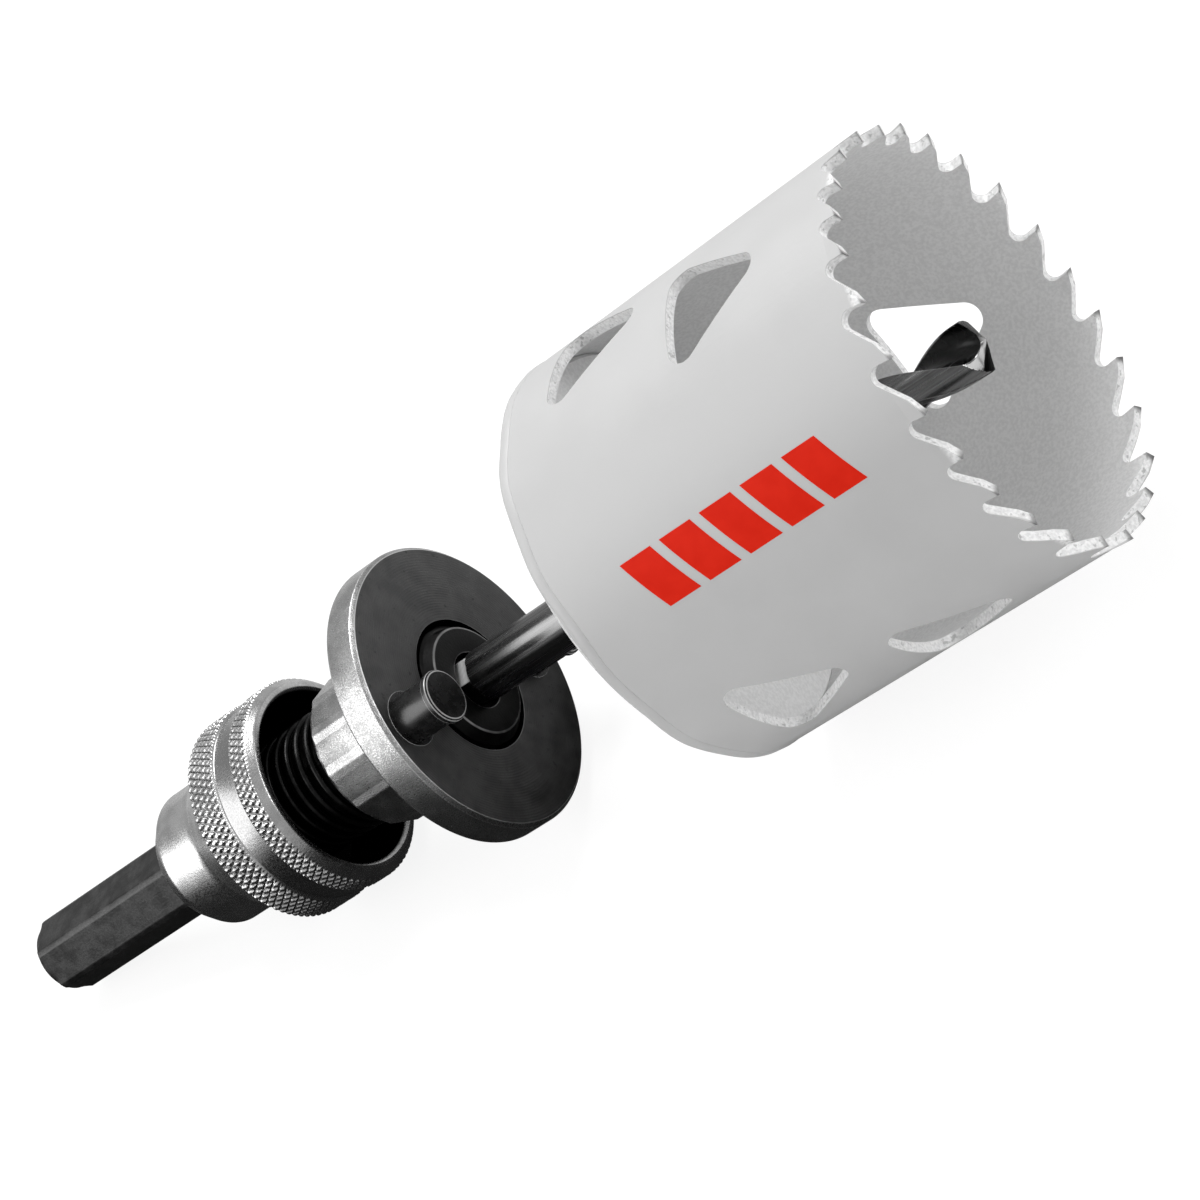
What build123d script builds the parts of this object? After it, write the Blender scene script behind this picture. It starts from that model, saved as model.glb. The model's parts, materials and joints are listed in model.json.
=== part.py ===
from build123d import *
import os
from math import asin, atan2, cos, degrees, pi, radians, sin, sqrt, tan

# A 51 mm hole saw on a quick-release arbor, with the saw drawn forward along the pilot drill.
# Every piece is modelled about the tool's axis, which is X and points at the teeth. Stations
# along it are measured from the front face of the drive plate. The finished tool is then laid
# down as it comes to rest, on the back corner of the saw and the end of the shank.
# Angles round the axis run from +Y towards +Z, so 90 degrees is straight up.

# Saw tube
TUBE_RADIUS = 25.3
TUBE_WALL = 1.25
SAW_HEIGHT = 49.3
SAW_OFFSET = 31.5

# Teeth: the pitch varies round the rim as the sum of waves of (cycles, share, phase)
TOOTH_COUNT = 27
FIRST_TIP_ANGLE = -47.0
PITCH_WAVES = ((1, 0.057, 58.0), (2, 0.036, -9.0), (5, 0.105, -172.0))
TOOTH_SET = 0.2
SET_DEPTH_SHARE = 0.85
RELIEF_LAND_SHARE = 0.34
RELIEF_ANGLE = 20.0
GULLET_DEPTH_SHARE = 0.45
GULLET_RADIUS_SHARE = 0.17
HOOK_ANGLE = 6.0
TIP_STOCK = 0.15

# Windows: pairs of rounded triangles, the front one of each pair a step further round
WINDOW_PAIRS = 3
WINDOW_SIDE = 16.4
WINDOW_CORNER = 2.0
FRONT_WINDOW_STATION = 25.75
REAR_WINDOW_STATION = 7.95
FRONT_WINDOW_ANGLE = 90.0
WINDOW_STEP_ANGLE = 14.0

# Back plate of the saw, welded into the tube
BACK_FLANGE = 1.3
BACK_THICKNESS = 4.5
BACK_CHAMFER = 0.8
SPIGOT_CLEARANCE = 0.05
SPIGOT_CHAMFER = 0.5
SAW_THREAD_MINOR_RADIUS = 7.25
SAW_THREAD_CHAMFER = 0.7
DRIVE_HOLE_COUNT = 4
DRIVE_HOLE_CLEARANCE = 0.4

# Drive plate with its hub
PLATE_RADIUS = 18.45
PLATE_THICKNESS = 4.87
PLATE_FRONT_CHAMFER = 0.45
PLATE_REAR_CHAMFER = 0.5
PLATE_BORE_RADIUS = 8.53
PLATE_BORE_DEPTH = 11.0
HUB_CORNER_RADIUS = 9.98
HUB_SIDES = 12
HUB_EDGE_ANGLE = 80.4
HUB_LENGTH = 13.1
HUB_CHAMFER = 0.6

# Drive pins, pressed into the plate
PIN_COUNT = 2
PIN_CIRCLE_RADIUS = 13.5
PIN_ANGLE = 140.0
PIN_SHANK_RADIUS = 2.95
PIN_HEAD_RADIUS = 3.25
PIN_HEAD_LENGTH = 0.9
PIN_HEAD_CHAMFER = 0.25
PIN_PROJECTION = 6.1
PIN_SEAT_CHAMFER = 0.4

# Arbor body: threaded nose, hexagonal stem and hexagonal shank in one piece
NOSE_RADIUS = 7.94
NOSE_PROJECTION = 1.15
NOSE_CHAMFER = 1.05
NOSE_UNDERCUT_RADIUS = 7.1
NOSE_UNDERCUT_LENGTH = 1.8
STOP_CLEARANCE = 0.1
STEM_FLATS = 11.1
STEM_BORE_CLEARANCE = 0.1
SHANK_FLATS = 9.525
SHANK_CORNER_RADIUS = 5.29
SHANK_END_STATION = -78.65
SHANK_END_CHAMFER = 0.7

# Knurled collar, the grip and spring housing
COLLAR_MOUTH_STATION = -24.35
COLLAR_LIP_RADIUS = 12.95
COLLAR_LIP_LENGTH = 0.8
COLLAR_BORE_RADIUS = 11.58
COLLAR_BORE_DEPTH = 10.65
COLLAR_BORE_CHAMFER = 0.45
KNURL_RADIUS = 13.75
KNURL_CHAMFER = 0.35
FRONT_KNURL_LENGTH = 3.2
REAR_KNURL_LENGTH = 4.8
SMOOTH_BAND_RADIUS = 13.25
SMOOTH_BAND_LENGTH = 3.0
FLARE_START_RADIUS = 12.9
FLARE_LENGTH = 5.3
TAIL_RADIUS = 9.2
TAIL_LENGTH = 6.3
TAIL_END_RADIUS = 7.65
TAIL_CHAMFER_LENGTH = 2.15
SHANK_FIT_CLEARANCE = 0.05

# Retaining ring behind the collar
RING_THICKNESS = 0.8
RING_OUTER_RADIUS = 6.1
RING_GROOVE_RADIUS = 4.4
RING_CLEARANCE = 0.05
RING_OPENING_ANGLE = 50.0
RING_RECESS_DEPTH = 2.6
RING_RECESS_RADIUS = 6.5

# Return spring
SPRING_RADIUS = 7.6
SPRING_WIRE_RADIUS = 0.5
SPRING_TURNS = 8.5
SPRING_STEPS_PER_TURN = 16
SPRING_SEAT_CLEARANCE = 0.05

# Pilot drill
DRILL_RADIUS = 3.175
DRILL_TIP_STATION = 79.2
DRILL_TAIL_STATION = -19.5
DRILL_FLATS = 5.6
DRILL_FLATS_END = 1.9
DRILL_FLATS_RUNOUT = 0.7
DRILL_SEAT_CLEARANCE = 0.05
DRILL_RECESS_RADIUS = 4.0
DRILL_RECESS_DEPTH = 1.5
FLUTE_LENGTH = 42.0
FLUTE_RADIUS = 2.1
FLUTE_LEAD = 37.5
FLUTE_RUNOUT = 6.0
FLUTE_OVERRUN = 0.5
WEB_THICKNESS = 1.1
POINT_HALF_ANGLE = 60.0
POINT_ANGLE = 0.0

# Grub screw that holds the drill in the nose
SCREW_RADIUS = 2.0
SCREW_CLEARANCE = 0.03
SCREW_STATION = -5.5
SCREW_ANGLE = 210.0
SCREW_SINK = 0.9
SCREW_SOCKET_FLATS = 2.0
SCREW_SOCKET_DEPTH = 1.8

# Stations that follow from the sizes above
SAW_BACK = SAW_OFFSET
TUBE_START = SAW_BACK + BACK_FLANGE
TIP_STATION = SAW_BACK + SAW_HEIGHT
TUBE_BORE_RADIUS = TUBE_RADIUS - TUBE_WALL
HUB_REAR = -PLATE_THICKNESS - HUB_LENGTH
NOSE_REAR = STOP_CLEARANCE - PLATE_BORE_DEPTH
COLLAR_FLOOR = COLLAR_MOUTH_STATION - COLLAR_BORE_DEPTH
FRONT_KNURL_START = COLLAR_MOUTH_STATION - COLLAR_LIP_LENGTH
SMOOTH_BAND_START = FRONT_KNURL_START - FRONT_KNURL_LENGTH
REAR_KNURL_START = SMOOTH_BAND_START - SMOOTH_BAND_LENGTH
FLARE_START = REAR_KNURL_START - REAR_KNURL_LENGTH
TAIL_START = FLARE_START - FLARE_LENGTH
TAIL_END = TAIL_START - TAIL_LENGTH
COLLAR_REAR = TAIL_END - TAIL_CHAMFER_LENGTH
RING_SEAT = COLLAR_REAR + RING_RECESS_DEPTH
MEAN_PITCH_ANGLE = 360.0 / TOOTH_COUNT


def turned(*points):
    """A solid of revolution about X from its half outline of (station, radius) points."""
    return revolve(make_face(Polyline(*points, close=True)), Axis.X)


def cross_plane(station):
    """The plane square to the axis at a station, with its own X along +Y and its own Y along +Z."""
    return Plane(origin=(station, 0, 0), x_dir=(0, 1, 0), z_dir=(1, 0, 0))


def radial_plane(angle):
    """The plane through the axis whose normal points outwards at an angle round the axis."""
    outward = (0, cos(radians(angle)), sin(radians(angle)))
    return Plane(origin=(0, 0, 0), x_dir=(1, 0, 0), z_dir=outward)


def bar(sides, flats, start, end):
    """A prism of a regular polygon, with a flat on top, between two stations."""
    outline = RegularPolygon(flats / 2, sides, major_radius=False)
    return extrude(cross_plane(start) * outline, amount=end - start)


def tooth_pitches():
    """The angle from each tooth tip to the next, all round the rim."""
    pitches = []
    for tooth in range(TOOTH_COUNT):
        share = 1.0
        for cycles, size, phase in PITCH_WAVES:
            share += size * cos(radians(360.0 * cycles * tooth / TOOTH_COUNT + phase))
        pitches.append(MEAN_PITCH_ANGLE * share)
    return pitches


def gullet_sizes(pitch):
    """Depth, root radius and offset of the root from mid-pitch, for a gap of one pitch angle."""
    width = 2 * TUBE_RADIUS * sin(radians(pitch / 2))
    depth = GULLET_DEPTH_SHARE * width
    root = GULLET_RADIUS_SHARE * width
    hook = radians(HOOK_ANGLE)
    offset = width / 2 + (depth - root) * tan(hook) - root / cos(hook)
    return width, depth, root, offset


def gullet_cutter(middle, pitch):
    """What is ground away between two tips: relief land, second relief, round root, hooked face."""
    width, depth, root, offset = gullet_sizes(pitch)
    hook = radians(HOOK_ANGLE)
    relief = tan(radians(RELIEF_ANGLE))
    land = RELIEF_LAND_SHARE * width
    kink = Vector(-land * relief, land - width / 2)
    centre = Vector(root - depth, offset)
    reach = (centre - kink).length
    fall = atan2(kink.X - centre.X, centre.Y - kink.Y) + asin(root / reach)
    run = sqrt(reach * reach - root * root)
    leave = kink + Vector(-run * sin(fall), run * cos(fall))
    arrive = centre + Vector(root * sin(hook), root * cos(hook))
    bottom = centre - Vector(root, 0)
    over = 4 * TIP_STOCK
    start = Vector(over * relief, -width / 2 - over)
    end = Vector(over, width / 2 - over * tan(hook))
    ground = Polyline(start, kink, leave) + ThreePointArc(leave, bottom, arrive)
    ground += Polyline(arrive, end, Vector(over, start.Y), start)
    sketch = radial_plane(middle) * Pos(TIP_STATION, 0) * make_face(ground)
    return extrude(sketch, amount=TUBE_RADIUS + 2 * TOOTH_SET + 1)


def tooth_stock(start, sweep, lean, depth):
    """A sector of rim for one tooth, leaning inwards, outwards or not at all."""
    root = TIP_STATION - depth
    tip = TIP_STATION + TIP_STOCK
    outline = Polyline(
        (root, TUBE_BORE_RADIUS),
        (root, TUBE_RADIUS),
        (tip, TUBE_RADIUS + lean),
        (tip, TUBE_BORE_RADIUS + lean),
        close=True,
    )
    return Rot(start, 0, 0) * revolve(make_face(outline), Axis.X, sweep)


def window_cutter(station, angle):
    """A rounded triangle through the wall, its point towards the teeth."""
    outline = RegularPolygon(WINDOW_SIDE / sqrt(3), 3)
    outline = fillet(outline.vertices(), WINDOW_CORNER)
    centre = SAW_BACK + station + WINDOW_SIDE / (2 * sqrt(3))
    sketch = radial_plane(angle) * Pos(centre, 0) * outline
    return extrude(sketch, amount=TUBE_RADIUS + 1)


def saw_tube():
    """The tube of the saw with its set teeth and its windows."""
    pitches = tooth_pitches()
    set_depth = SET_DEPTH_SHARE * min(gullet_sizes(pitch)[1] for pitch in pitches)
    stock = TIP_STATION - set_depth
    tube = turned(
        (TUBE_START, TUBE_BORE_RADIUS),
        (TUBE_START, TUBE_RADIUS),
        (stock, TUBE_RADIUS),
        (stock, TUBE_BORE_RADIUS),
    )
    gullets = []
    roots = []
    tip = FIRST_TIP_ANGLE
    for pitch in pitches:
        middle = tip + pitch / 2
        offset = gullet_sizes(pitch)[3]
        roots.append(middle - degrees(offset / TUBE_RADIUS))
        gullets.append(gullet_cutter(middle, pitch))
        tip += pitch
    leans = (-TOOTH_SET, 0.0, TOOTH_SET)
    teeth = []
    for tooth, root in enumerate(roots):
        following = roots[tooth + 1] if tooth + 1 < TOOTH_COUNT else roots[0] + 360
        teeth.append(tooth_stock(root, following - root, leans[tooth % len(leans)], set_depth))
    windows = []
    for pair in range(WINDOW_PAIRS):
        angle = FRONT_WINDOW_ANGLE + 360.0 * pair / WINDOW_PAIRS
        windows.append(window_cutter(FRONT_WINDOW_STATION, angle))
        windows.append(window_cutter(REAR_WINDOW_STATION, angle - WINDOW_STEP_ANGLE))
    return ((tube - windows) + teeth) - gullets


def pin_place(angle):
    """The place on the pin circle at an angle, in a plane square to the axis."""
    turn = radians(angle)
    return Pos(PIN_CIRCLE_RADIUS * cos(turn), PIN_CIRCLE_RADIUS * sin(turn))


def saw_back_plate():
    """The disc welded into the tube, with the threaded hole and the holes for the drive pins."""
    spigot = TUBE_BORE_RADIUS - SPIGOT_CLEARANCE
    front = SAW_BACK + BACK_THICKNESS
    disc = turned(
        (SAW_BACK, 0),
        (SAW_BACK, TUBE_RADIUS - BACK_CHAMFER),
        (SAW_BACK + BACK_CHAMFER, TUBE_RADIUS),
        (TUBE_START, TUBE_RADIUS),
        (TUBE_START, spigot),
        (front - SPIGOT_CHAMFER, spigot),
        (front, spigot - SPIGOT_CHAMFER),
        (front, 0),
    )
    mouth = SAW_THREAD_MINOR_RADIUS + SAW_THREAD_CHAMFER
    hole = turned(
        (SAW_BACK, 0),
        (SAW_BACK, mouth),
        (SAW_BACK + SAW_THREAD_CHAMFER, SAW_THREAD_MINOR_RADIUS),
        (front - SAW_THREAD_CHAMFER, SAW_THREAD_MINOR_RADIUS),
        (front, mouth),
        (front, 0),
    )
    drive_holes = []
    for place in range(DRIVE_HOLE_COUNT):
        angle = PIN_ANGLE + 360.0 * place / DRIVE_HOLE_COUNT
        circle = pin_place(angle) * Circle(PIN_HEAD_RADIUS + DRIVE_HOLE_CLEARANCE)
        drive_holes.append(extrude(cross_plane(SAW_BACK) * circle, amount=BACK_THICKNESS))
    return disc - [hole] - drive_holes


def drive_pin_places():
    """Where the drive pins stand, in a plane square to the axis."""
    return [pin_place(PIN_ANGLE + 360.0 * pin / PIN_COUNT) for pin in range(PIN_COUNT)]


def drive_plate():
    """The drive plate and its faceted hub, bored for the nose and broached for the stem."""
    plate = turned(
        (-PLATE_THICKNESS, 0),
        (-PLATE_THICKNESS, PLATE_RADIUS - PLATE_REAR_CHAMFER),
        (PLATE_REAR_CHAMFER - PLATE_THICKNESS, PLATE_RADIUS),
        (-PLATE_FRONT_CHAMFER, PLATE_RADIUS),
        (0, PLATE_RADIUS - PLATE_FRONT_CHAMFER),
        (0, 0),
    )
    outline = RegularPolygon(HUB_CORNER_RADIUS, HUB_SIDES, rotation=HUB_EDGE_ANGLE)
    hub = extrude(cross_plane(HUB_REAR) * outline, amount=HUB_LENGTH)
    hub &= turned(
        (HUB_REAR, 0),
        (HUB_REAR, HUB_CORNER_RADIUS - HUB_CHAMFER),
        (HUB_REAR + HUB_CHAMFER, HUB_CORNER_RADIUS),
        (-PLATE_THICKNESS, HUB_CORNER_RADIUS),
        (-PLATE_THICKNESS, 0),
    )
    bore = turned(
        (-PLATE_BORE_DEPTH, 0),
        (-PLATE_BORE_DEPTH, PLATE_BORE_RADIUS),
        (0, PLATE_BORE_RADIUS),
        (0, 0),
    )
    broach = bar(6, STEM_FLATS + 2 * STEM_BORE_CLEARANCE, HUB_REAR, 0)
    seats = []
    for place in drive_pin_places():
        hole = extrude(cross_plane(0) * place * Circle(PIN_SHANK_RADIUS), amount=-PLATE_THICKNESS)
        rim = cross_plane(0) * place * Circle(PIN_SHANK_RADIUS + PIN_SEAT_CHAMFER)
        rim = extrude(rim, amount=-PIN_SEAT_CHAMFER, taper=45)
        seats += [hole, rim]
    return (plate + hub) - [bore, broach] - seats


def drive_pin(place):
    """One drive pin: a shank pressed through the plate and a chamfered head in front of it."""
    neck = PIN_PROJECTION - PIN_HEAD_LENGTH
    pin = turned(
        (-PLATE_THICKNESS, 0),
        (-PLATE_THICKNESS, PIN_SHANK_RADIUS),
        (neck, PIN_SHANK_RADIUS),
        (neck, PIN_HEAD_RADIUS),
        (PIN_PROJECTION - PIN_HEAD_CHAMFER, PIN_HEAD_RADIUS),
        (PIN_PROJECTION, PIN_HEAD_RADIUS - PIN_HEAD_CHAMFER),
        (PIN_PROJECTION, 0),
    )
    return Pos(0, place.position.X, place.position.Y) * pin


def arbor_body():
    """Nose, stem and shank in one piece, bored for the drill and its screw."""
    undercut_start = NOSE_REAR + NOSE_UNDERCUT_LENGTH
    step = NOSE_RADIUS - NOSE_UNDERCUT_RADIUS
    nose = turned(
        (NOSE_REAR, 0),
        (NOSE_REAR, NOSE_RADIUS),
        (NOSE_REAR + step, NOSE_RADIUS),
        (NOSE_REAR + step, NOSE_UNDERCUT_RADIUS),
        (undercut_start, NOSE_UNDERCUT_RADIUS),
        (undercut_start + step, NOSE_RADIUS),
        (NOSE_PROJECTION - NOSE_CHAMFER, NOSE_RADIUS),
        (NOSE_PROJECTION, NOSE_RADIUS - NOSE_CHAMFER),
        (NOSE_PROJECTION, 0),
    )
    stem = bar(6, STEM_FLATS, COLLAR_FLOOR, NOSE_REAR)
    shank = bar(6, SHANK_FLATS, SHANK_END_STATION, COLLAR_FLOOR)
    shank &= turned(
        (SHANK_END_STATION, 0),
        (SHANK_END_STATION, SHANK_CORNER_RADIUS - SHANK_END_CHAMFER),
        (SHANK_END_STATION + SHANK_END_CHAMFER, SHANK_CORNER_RADIUS),
        (COLLAR_FLOOR, SHANK_CORNER_RADIUS),
        (COLLAR_FLOOR, 0),
    )
    groove = turned(
        (RING_SEAT, RING_GROOVE_RADIUS),
        (RING_SEAT, STEM_FLATS),
        (RING_SEAT - RING_THICKNESS - RING_CLEARANCE, STEM_FLATS),
        (RING_SEAT - RING_THICKNESS - RING_CLEARANCE, RING_GROOVE_RADIUS),
    )
    socket_end = DRILL_TAIL_STATION - DRILL_SEAT_CLEARANCE
    socket = bar(6, DRILL_FLATS + 2 * DRILL_SEAT_CLEARANCE, socket_end, NOSE_PROJECTION)
    recess = turned(
        (NOSE_PROJECTION - DRILL_RECESS_DEPTH, 0),
        (NOSE_PROJECTION - DRILL_RECESS_DEPTH, DRILL_RECESS_RADIUS),
        (NOSE_PROJECTION, DRILL_RECESS_RADIUS),
        (NOSE_PROJECTION, 0),
    )
    tapping = radial_plane(SCREW_ANGLE) * Pos(SCREW_STATION, 0) * Circle(SCREW_RADIUS + SCREW_CLEARANCE)
    tapping = extrude(tapping, amount=NOSE_RADIUS + 1)
    return (nose + [stem, shank]) - [groove, socket, recess, tapping]


def knurled_collar():
    """The collar: lip, two raised bands, flare and tail outside, spring housing inside."""
    outer = turned(
        (COLLAR_MOUTH_STATION, 0),
        (COLLAR_MOUTH_STATION, COLLAR_LIP_RADIUS),
        (FRONT_KNURL_START, KNURL_RADIUS),
        (SMOOTH_BAND_START + KNURL_CHAMFER, KNURL_RADIUS),
        (SMOOTH_BAND_START, SMOOTH_BAND_RADIUS),
        (REAR_KNURL_START, SMOOTH_BAND_RADIUS),
        (REAR_KNURL_START - KNURL_CHAMFER, KNURL_RADIUS),
        (FLARE_START + KNURL_CHAMFER, KNURL_RADIUS),
        (FLARE_START, FLARE_START_RADIUS),
        (TAIL_START, TAIL_RADIUS),
        (TAIL_END, TAIL_RADIUS),
        (COLLAR_REAR, TAIL_END_RADIUS),
        (COLLAR_REAR, 0),
    )
    bore = turned(
        (COLLAR_FLOOR, 0),
        (COLLAR_FLOOR, COLLAR_BORE_RADIUS),
        (COLLAR_MOUTH_STATION - COLLAR_BORE_CHAMFER, COLLAR_BORE_RADIUS),
        (COLLAR_MOUTH_STATION, COLLAR_BORE_RADIUS + COLLAR_BORE_CHAMFER),
        (COLLAR_MOUTH_STATION, 0),
    )
    recess = turned(
        (COLLAR_REAR, 0),
        (COLLAR_REAR, RING_RECESS_RADIUS),
        (RING_SEAT, RING_RECESS_RADIUS),
        (RING_SEAT, 0),
    )
    broach = bar(6, SHANK_FLATS + 2 * SHANK_FIT_CLEARANCE, COLLAR_REAR, COLLAR_FLOOR)
    return outer - [bore, recess, broach]


def retaining_ring():
    """The open ring that snaps into the shank's groove behind the collar."""
    front = RING_SEAT
    rear = RING_SEAT - RING_THICKNESS
    inner = RING_GROOVE_RADIUS + RING_CLEARANCE
    ring = turned((front, inner), (front, RING_OUTER_RADIUS), (rear, RING_OUTER_RADIUS), (rear, inner))
    half = tan(radians(RING_OPENING_ANGLE / 2)) * RING_OUTER_RADIUS
    gap = Polyline((0, 0), (RING_OUTER_RADIUS, -half), (RING_OUTER_RADIUS, half), close=True)
    return ring - extrude(cross_plane(rear) * make_face(gap), amount=RING_THICKNESS)


def main_spring():
    """The coil spring between the collar's floor and the hub, its wire run in short steps."""
    start = COLLAR_FLOOR + SPRING_SEAT_CLEARANCE + SPRING_WIRE_RADIUS
    room = HUB_REAR - SPRING_SEAT_CLEARANCE - SPRING_WIRE_RADIUS - start
    steps = round(SPRING_TURNS * SPRING_STEPS_PER_TURN)
    points = []
    for step in range(steps + 1):
        turn = 2 * pi * step / SPRING_STEPS_PER_TURN
        place = (start + room * step / steps, SPRING_RADIUS * cos(turn), SPRING_RADIUS * sin(turn))
        points.append(place)
    coil = Polyline(*points)
    wire = Plane(origin=coil @ 0, z_dir=coil % 0) * RegularPolygon(SPRING_WIRE_RADIUS, 6)
    return sweep(wire, path=coil, transition=Transition.RIGHT)


def flute(side):
    """What one flute takes out of the drill: a twisted bar beside the web, from its start past the tip."""
    start = DRILL_TIP_STATION - FLUTE_LENGTH
    length = FLUTE_LENGTH + FLUTE_OVERRUN
    bar_outline = RegularPolygon(FLUTE_RADIUS, 6, major_radius=False, rotation=30)
    turn = POINT_ANGLE + side - 360.0 * FLUTE_LENGTH / FLUTE_LEAD
    section = cross_plane(start) * Rot(0, 0, turn) * Pos(FLUTE_RADIUS + WEB_THICKNESS / 2, 0) * bar_outline
    twist = 360.0 * length / FLUTE_LEAD
    return Solid.extrude_linear_with_rotation(section.face(), (start, 0, 0), (length, 0, 0), twist)


def pilot_drill():
    """The pilot drill: hexagonal tail, round shank, twisted flutes and conical point."""
    flute_start = DRILL_TIP_STATION - FLUTE_LENGTH
    round_start = DRILL_FLATS_END + DRILL_FLATS_RUNOUT
    drill = turned(
        (DRILL_FLATS_END, 0),
        (DRILL_FLATS_END, DRILL_FLATS / 2),
        (round_start, DRILL_RADIUS),
        (DRILL_TIP_STATION - DRILL_RADIUS / tan(radians(POINT_HALF_ANGLE)), DRILL_RADIUS),
        (DRILL_TIP_STATION, 0),
    )
    runout = turned(
        (flute_start, 0),
        (flute_start, DRILL_RADIUS),
        (flute_start + FLUTE_RUNOUT, WEB_THICKNESS / 2),
        (flute_start + FLUTE_RUNOUT, 0),
    )
    tail = bar(6, DRILL_FLATS, DRILL_TAIL_STATION, round_start)
    tail &= turned(
        (DRILL_TAIL_STATION, 0),
        (DRILL_TAIL_STATION, DRILL_RADIUS),
        (round_start, DRILL_RADIUS),
        (round_start, 0),
    )
    return (drill - [flute(0), flute(180)]) + runout + tail


def drill_set_screw():
    """The grub screw that bears on one flat of the drill."""
    plane = radial_plane(SCREW_ANGLE) * Pos(SCREW_STATION, 0)
    length = NOSE_RADIUS - SCREW_SINK - DRILL_FLATS / 2
    screw = extrude(plane * Pos(0, 0, DRILL_FLATS / 2) * Circle(SCREW_RADIUS), amount=length)
    mouth = Pos(0, 0, NOSE_RADIUS - SCREW_SINK)
    socket = RegularPolygon(SCREW_SOCKET_FLATS / 2, 6, major_radius=False)
    return screw - extrude(plane * mouth * socket, amount=-SCREW_SOCKET_DEPTH)


def rest_tilt():
    """How far the axis leans when the back corner and the shank's end lie on one surface."""
    flat_end = SHANK_END_STATION + SHANK_END_CHAMFER + SHANK_FLATS / 2 - SHANK_CORNER_RADIUS
    along = SAW_BACK + BACK_CHAMFER - flat_end
    across = TUBE_RADIUS - SHANK_FLATS / 2
    return degrees(atan2(across, along))


def pieces():
    """Every piece by name, about the tool's own axis."""
    made = {
        "saw_tube": saw_tube(),
        "saw_back_plate": saw_back_plate(),
        "pilot_drill": pilot_drill(),
        "drill_set_screw": drill_set_screw(),
        "arbor_body": arbor_body(),
        "drive_plate": drive_plate(),
        "main_spring": main_spring(),
        "knurled_collar": knurled_collar(),
        "retaining_ring": retaining_ring(),
    }
    for number, place in enumerate(drive_pin_places(), start=1):
        made[f"drive_pin_{number}"] = drive_pin(place)
    return made


def laid_down(made):
    """The same pieces leaning at rest, centred over the origin and lying on its plane."""
    lean = Rot(0, -rest_tilt(), 0)
    leaning = {name: lean * piece for name, piece in made.items()}
    box = Compound(list(leaning.values())).bounding_box()
    centre = box.center()
    move = Pos(-centre.X, -centre.Y, -box.min.Z)
    return {name: move * piece for name, piece in leaning.items()}


os.makedirs("parts", exist_ok=True)
for name, piece in laid_down(pieces()).items():
    export_step(piece, f"parts/{name}.step")
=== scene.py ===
"""Dresses a hole saw on its quick-release arbor, with the saw drawn forward along the pilot drill."""

import json
import logging
import math
from collections.abc import Callable
from dataclasses import dataclass
from enum import Enum

import bmesh
import bpy
import numpy as np
from mathutils import Matrix, Vector


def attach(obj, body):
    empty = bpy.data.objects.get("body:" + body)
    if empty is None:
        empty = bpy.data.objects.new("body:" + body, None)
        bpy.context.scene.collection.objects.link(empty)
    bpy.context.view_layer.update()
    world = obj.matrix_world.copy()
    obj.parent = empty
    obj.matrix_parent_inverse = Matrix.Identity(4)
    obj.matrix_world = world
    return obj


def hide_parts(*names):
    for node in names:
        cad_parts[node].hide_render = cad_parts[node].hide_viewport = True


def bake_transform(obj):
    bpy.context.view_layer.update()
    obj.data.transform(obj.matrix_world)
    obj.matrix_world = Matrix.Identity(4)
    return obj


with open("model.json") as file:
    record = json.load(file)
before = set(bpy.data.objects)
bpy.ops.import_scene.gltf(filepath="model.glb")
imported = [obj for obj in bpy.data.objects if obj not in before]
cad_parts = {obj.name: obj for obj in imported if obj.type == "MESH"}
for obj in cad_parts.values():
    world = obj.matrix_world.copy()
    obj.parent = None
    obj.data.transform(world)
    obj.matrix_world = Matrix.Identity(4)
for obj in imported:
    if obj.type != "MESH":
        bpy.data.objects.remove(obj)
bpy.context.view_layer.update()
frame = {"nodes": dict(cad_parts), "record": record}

MM = 0.001
TINY = 1e-6
FULL_TURN = 2 * math.pi
ROUNDING_REACH = 0.45
HEXAGON = 6
LOG = logging.getLogger("hole_saw")

Span = tuple[float, float]
Colour = tuple[float, float, float, float]
Outline = list[tuple[float, float, float]]
Shape = Callable[[float, float, np.ndarray], np.ndarray]
Socket = bpy.types.NodeSocket
Sockets = bpy.types.bpy_prop_collection


class Body(Enum):
    """The bodies that move against each other."""

    ARBOR = "arbor"
    DRIVE = "drive"
    SAW = "saw"


class Slot(Enum):
    """The record's material slot names; the script gives them to no piece."""

    PAINT = "saw_paint"
    PLATED = "bright_plate"
    DARK = "dark_steel"
    DRILL = "drill_steel"
    SPRING = "spring_steel"


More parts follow.
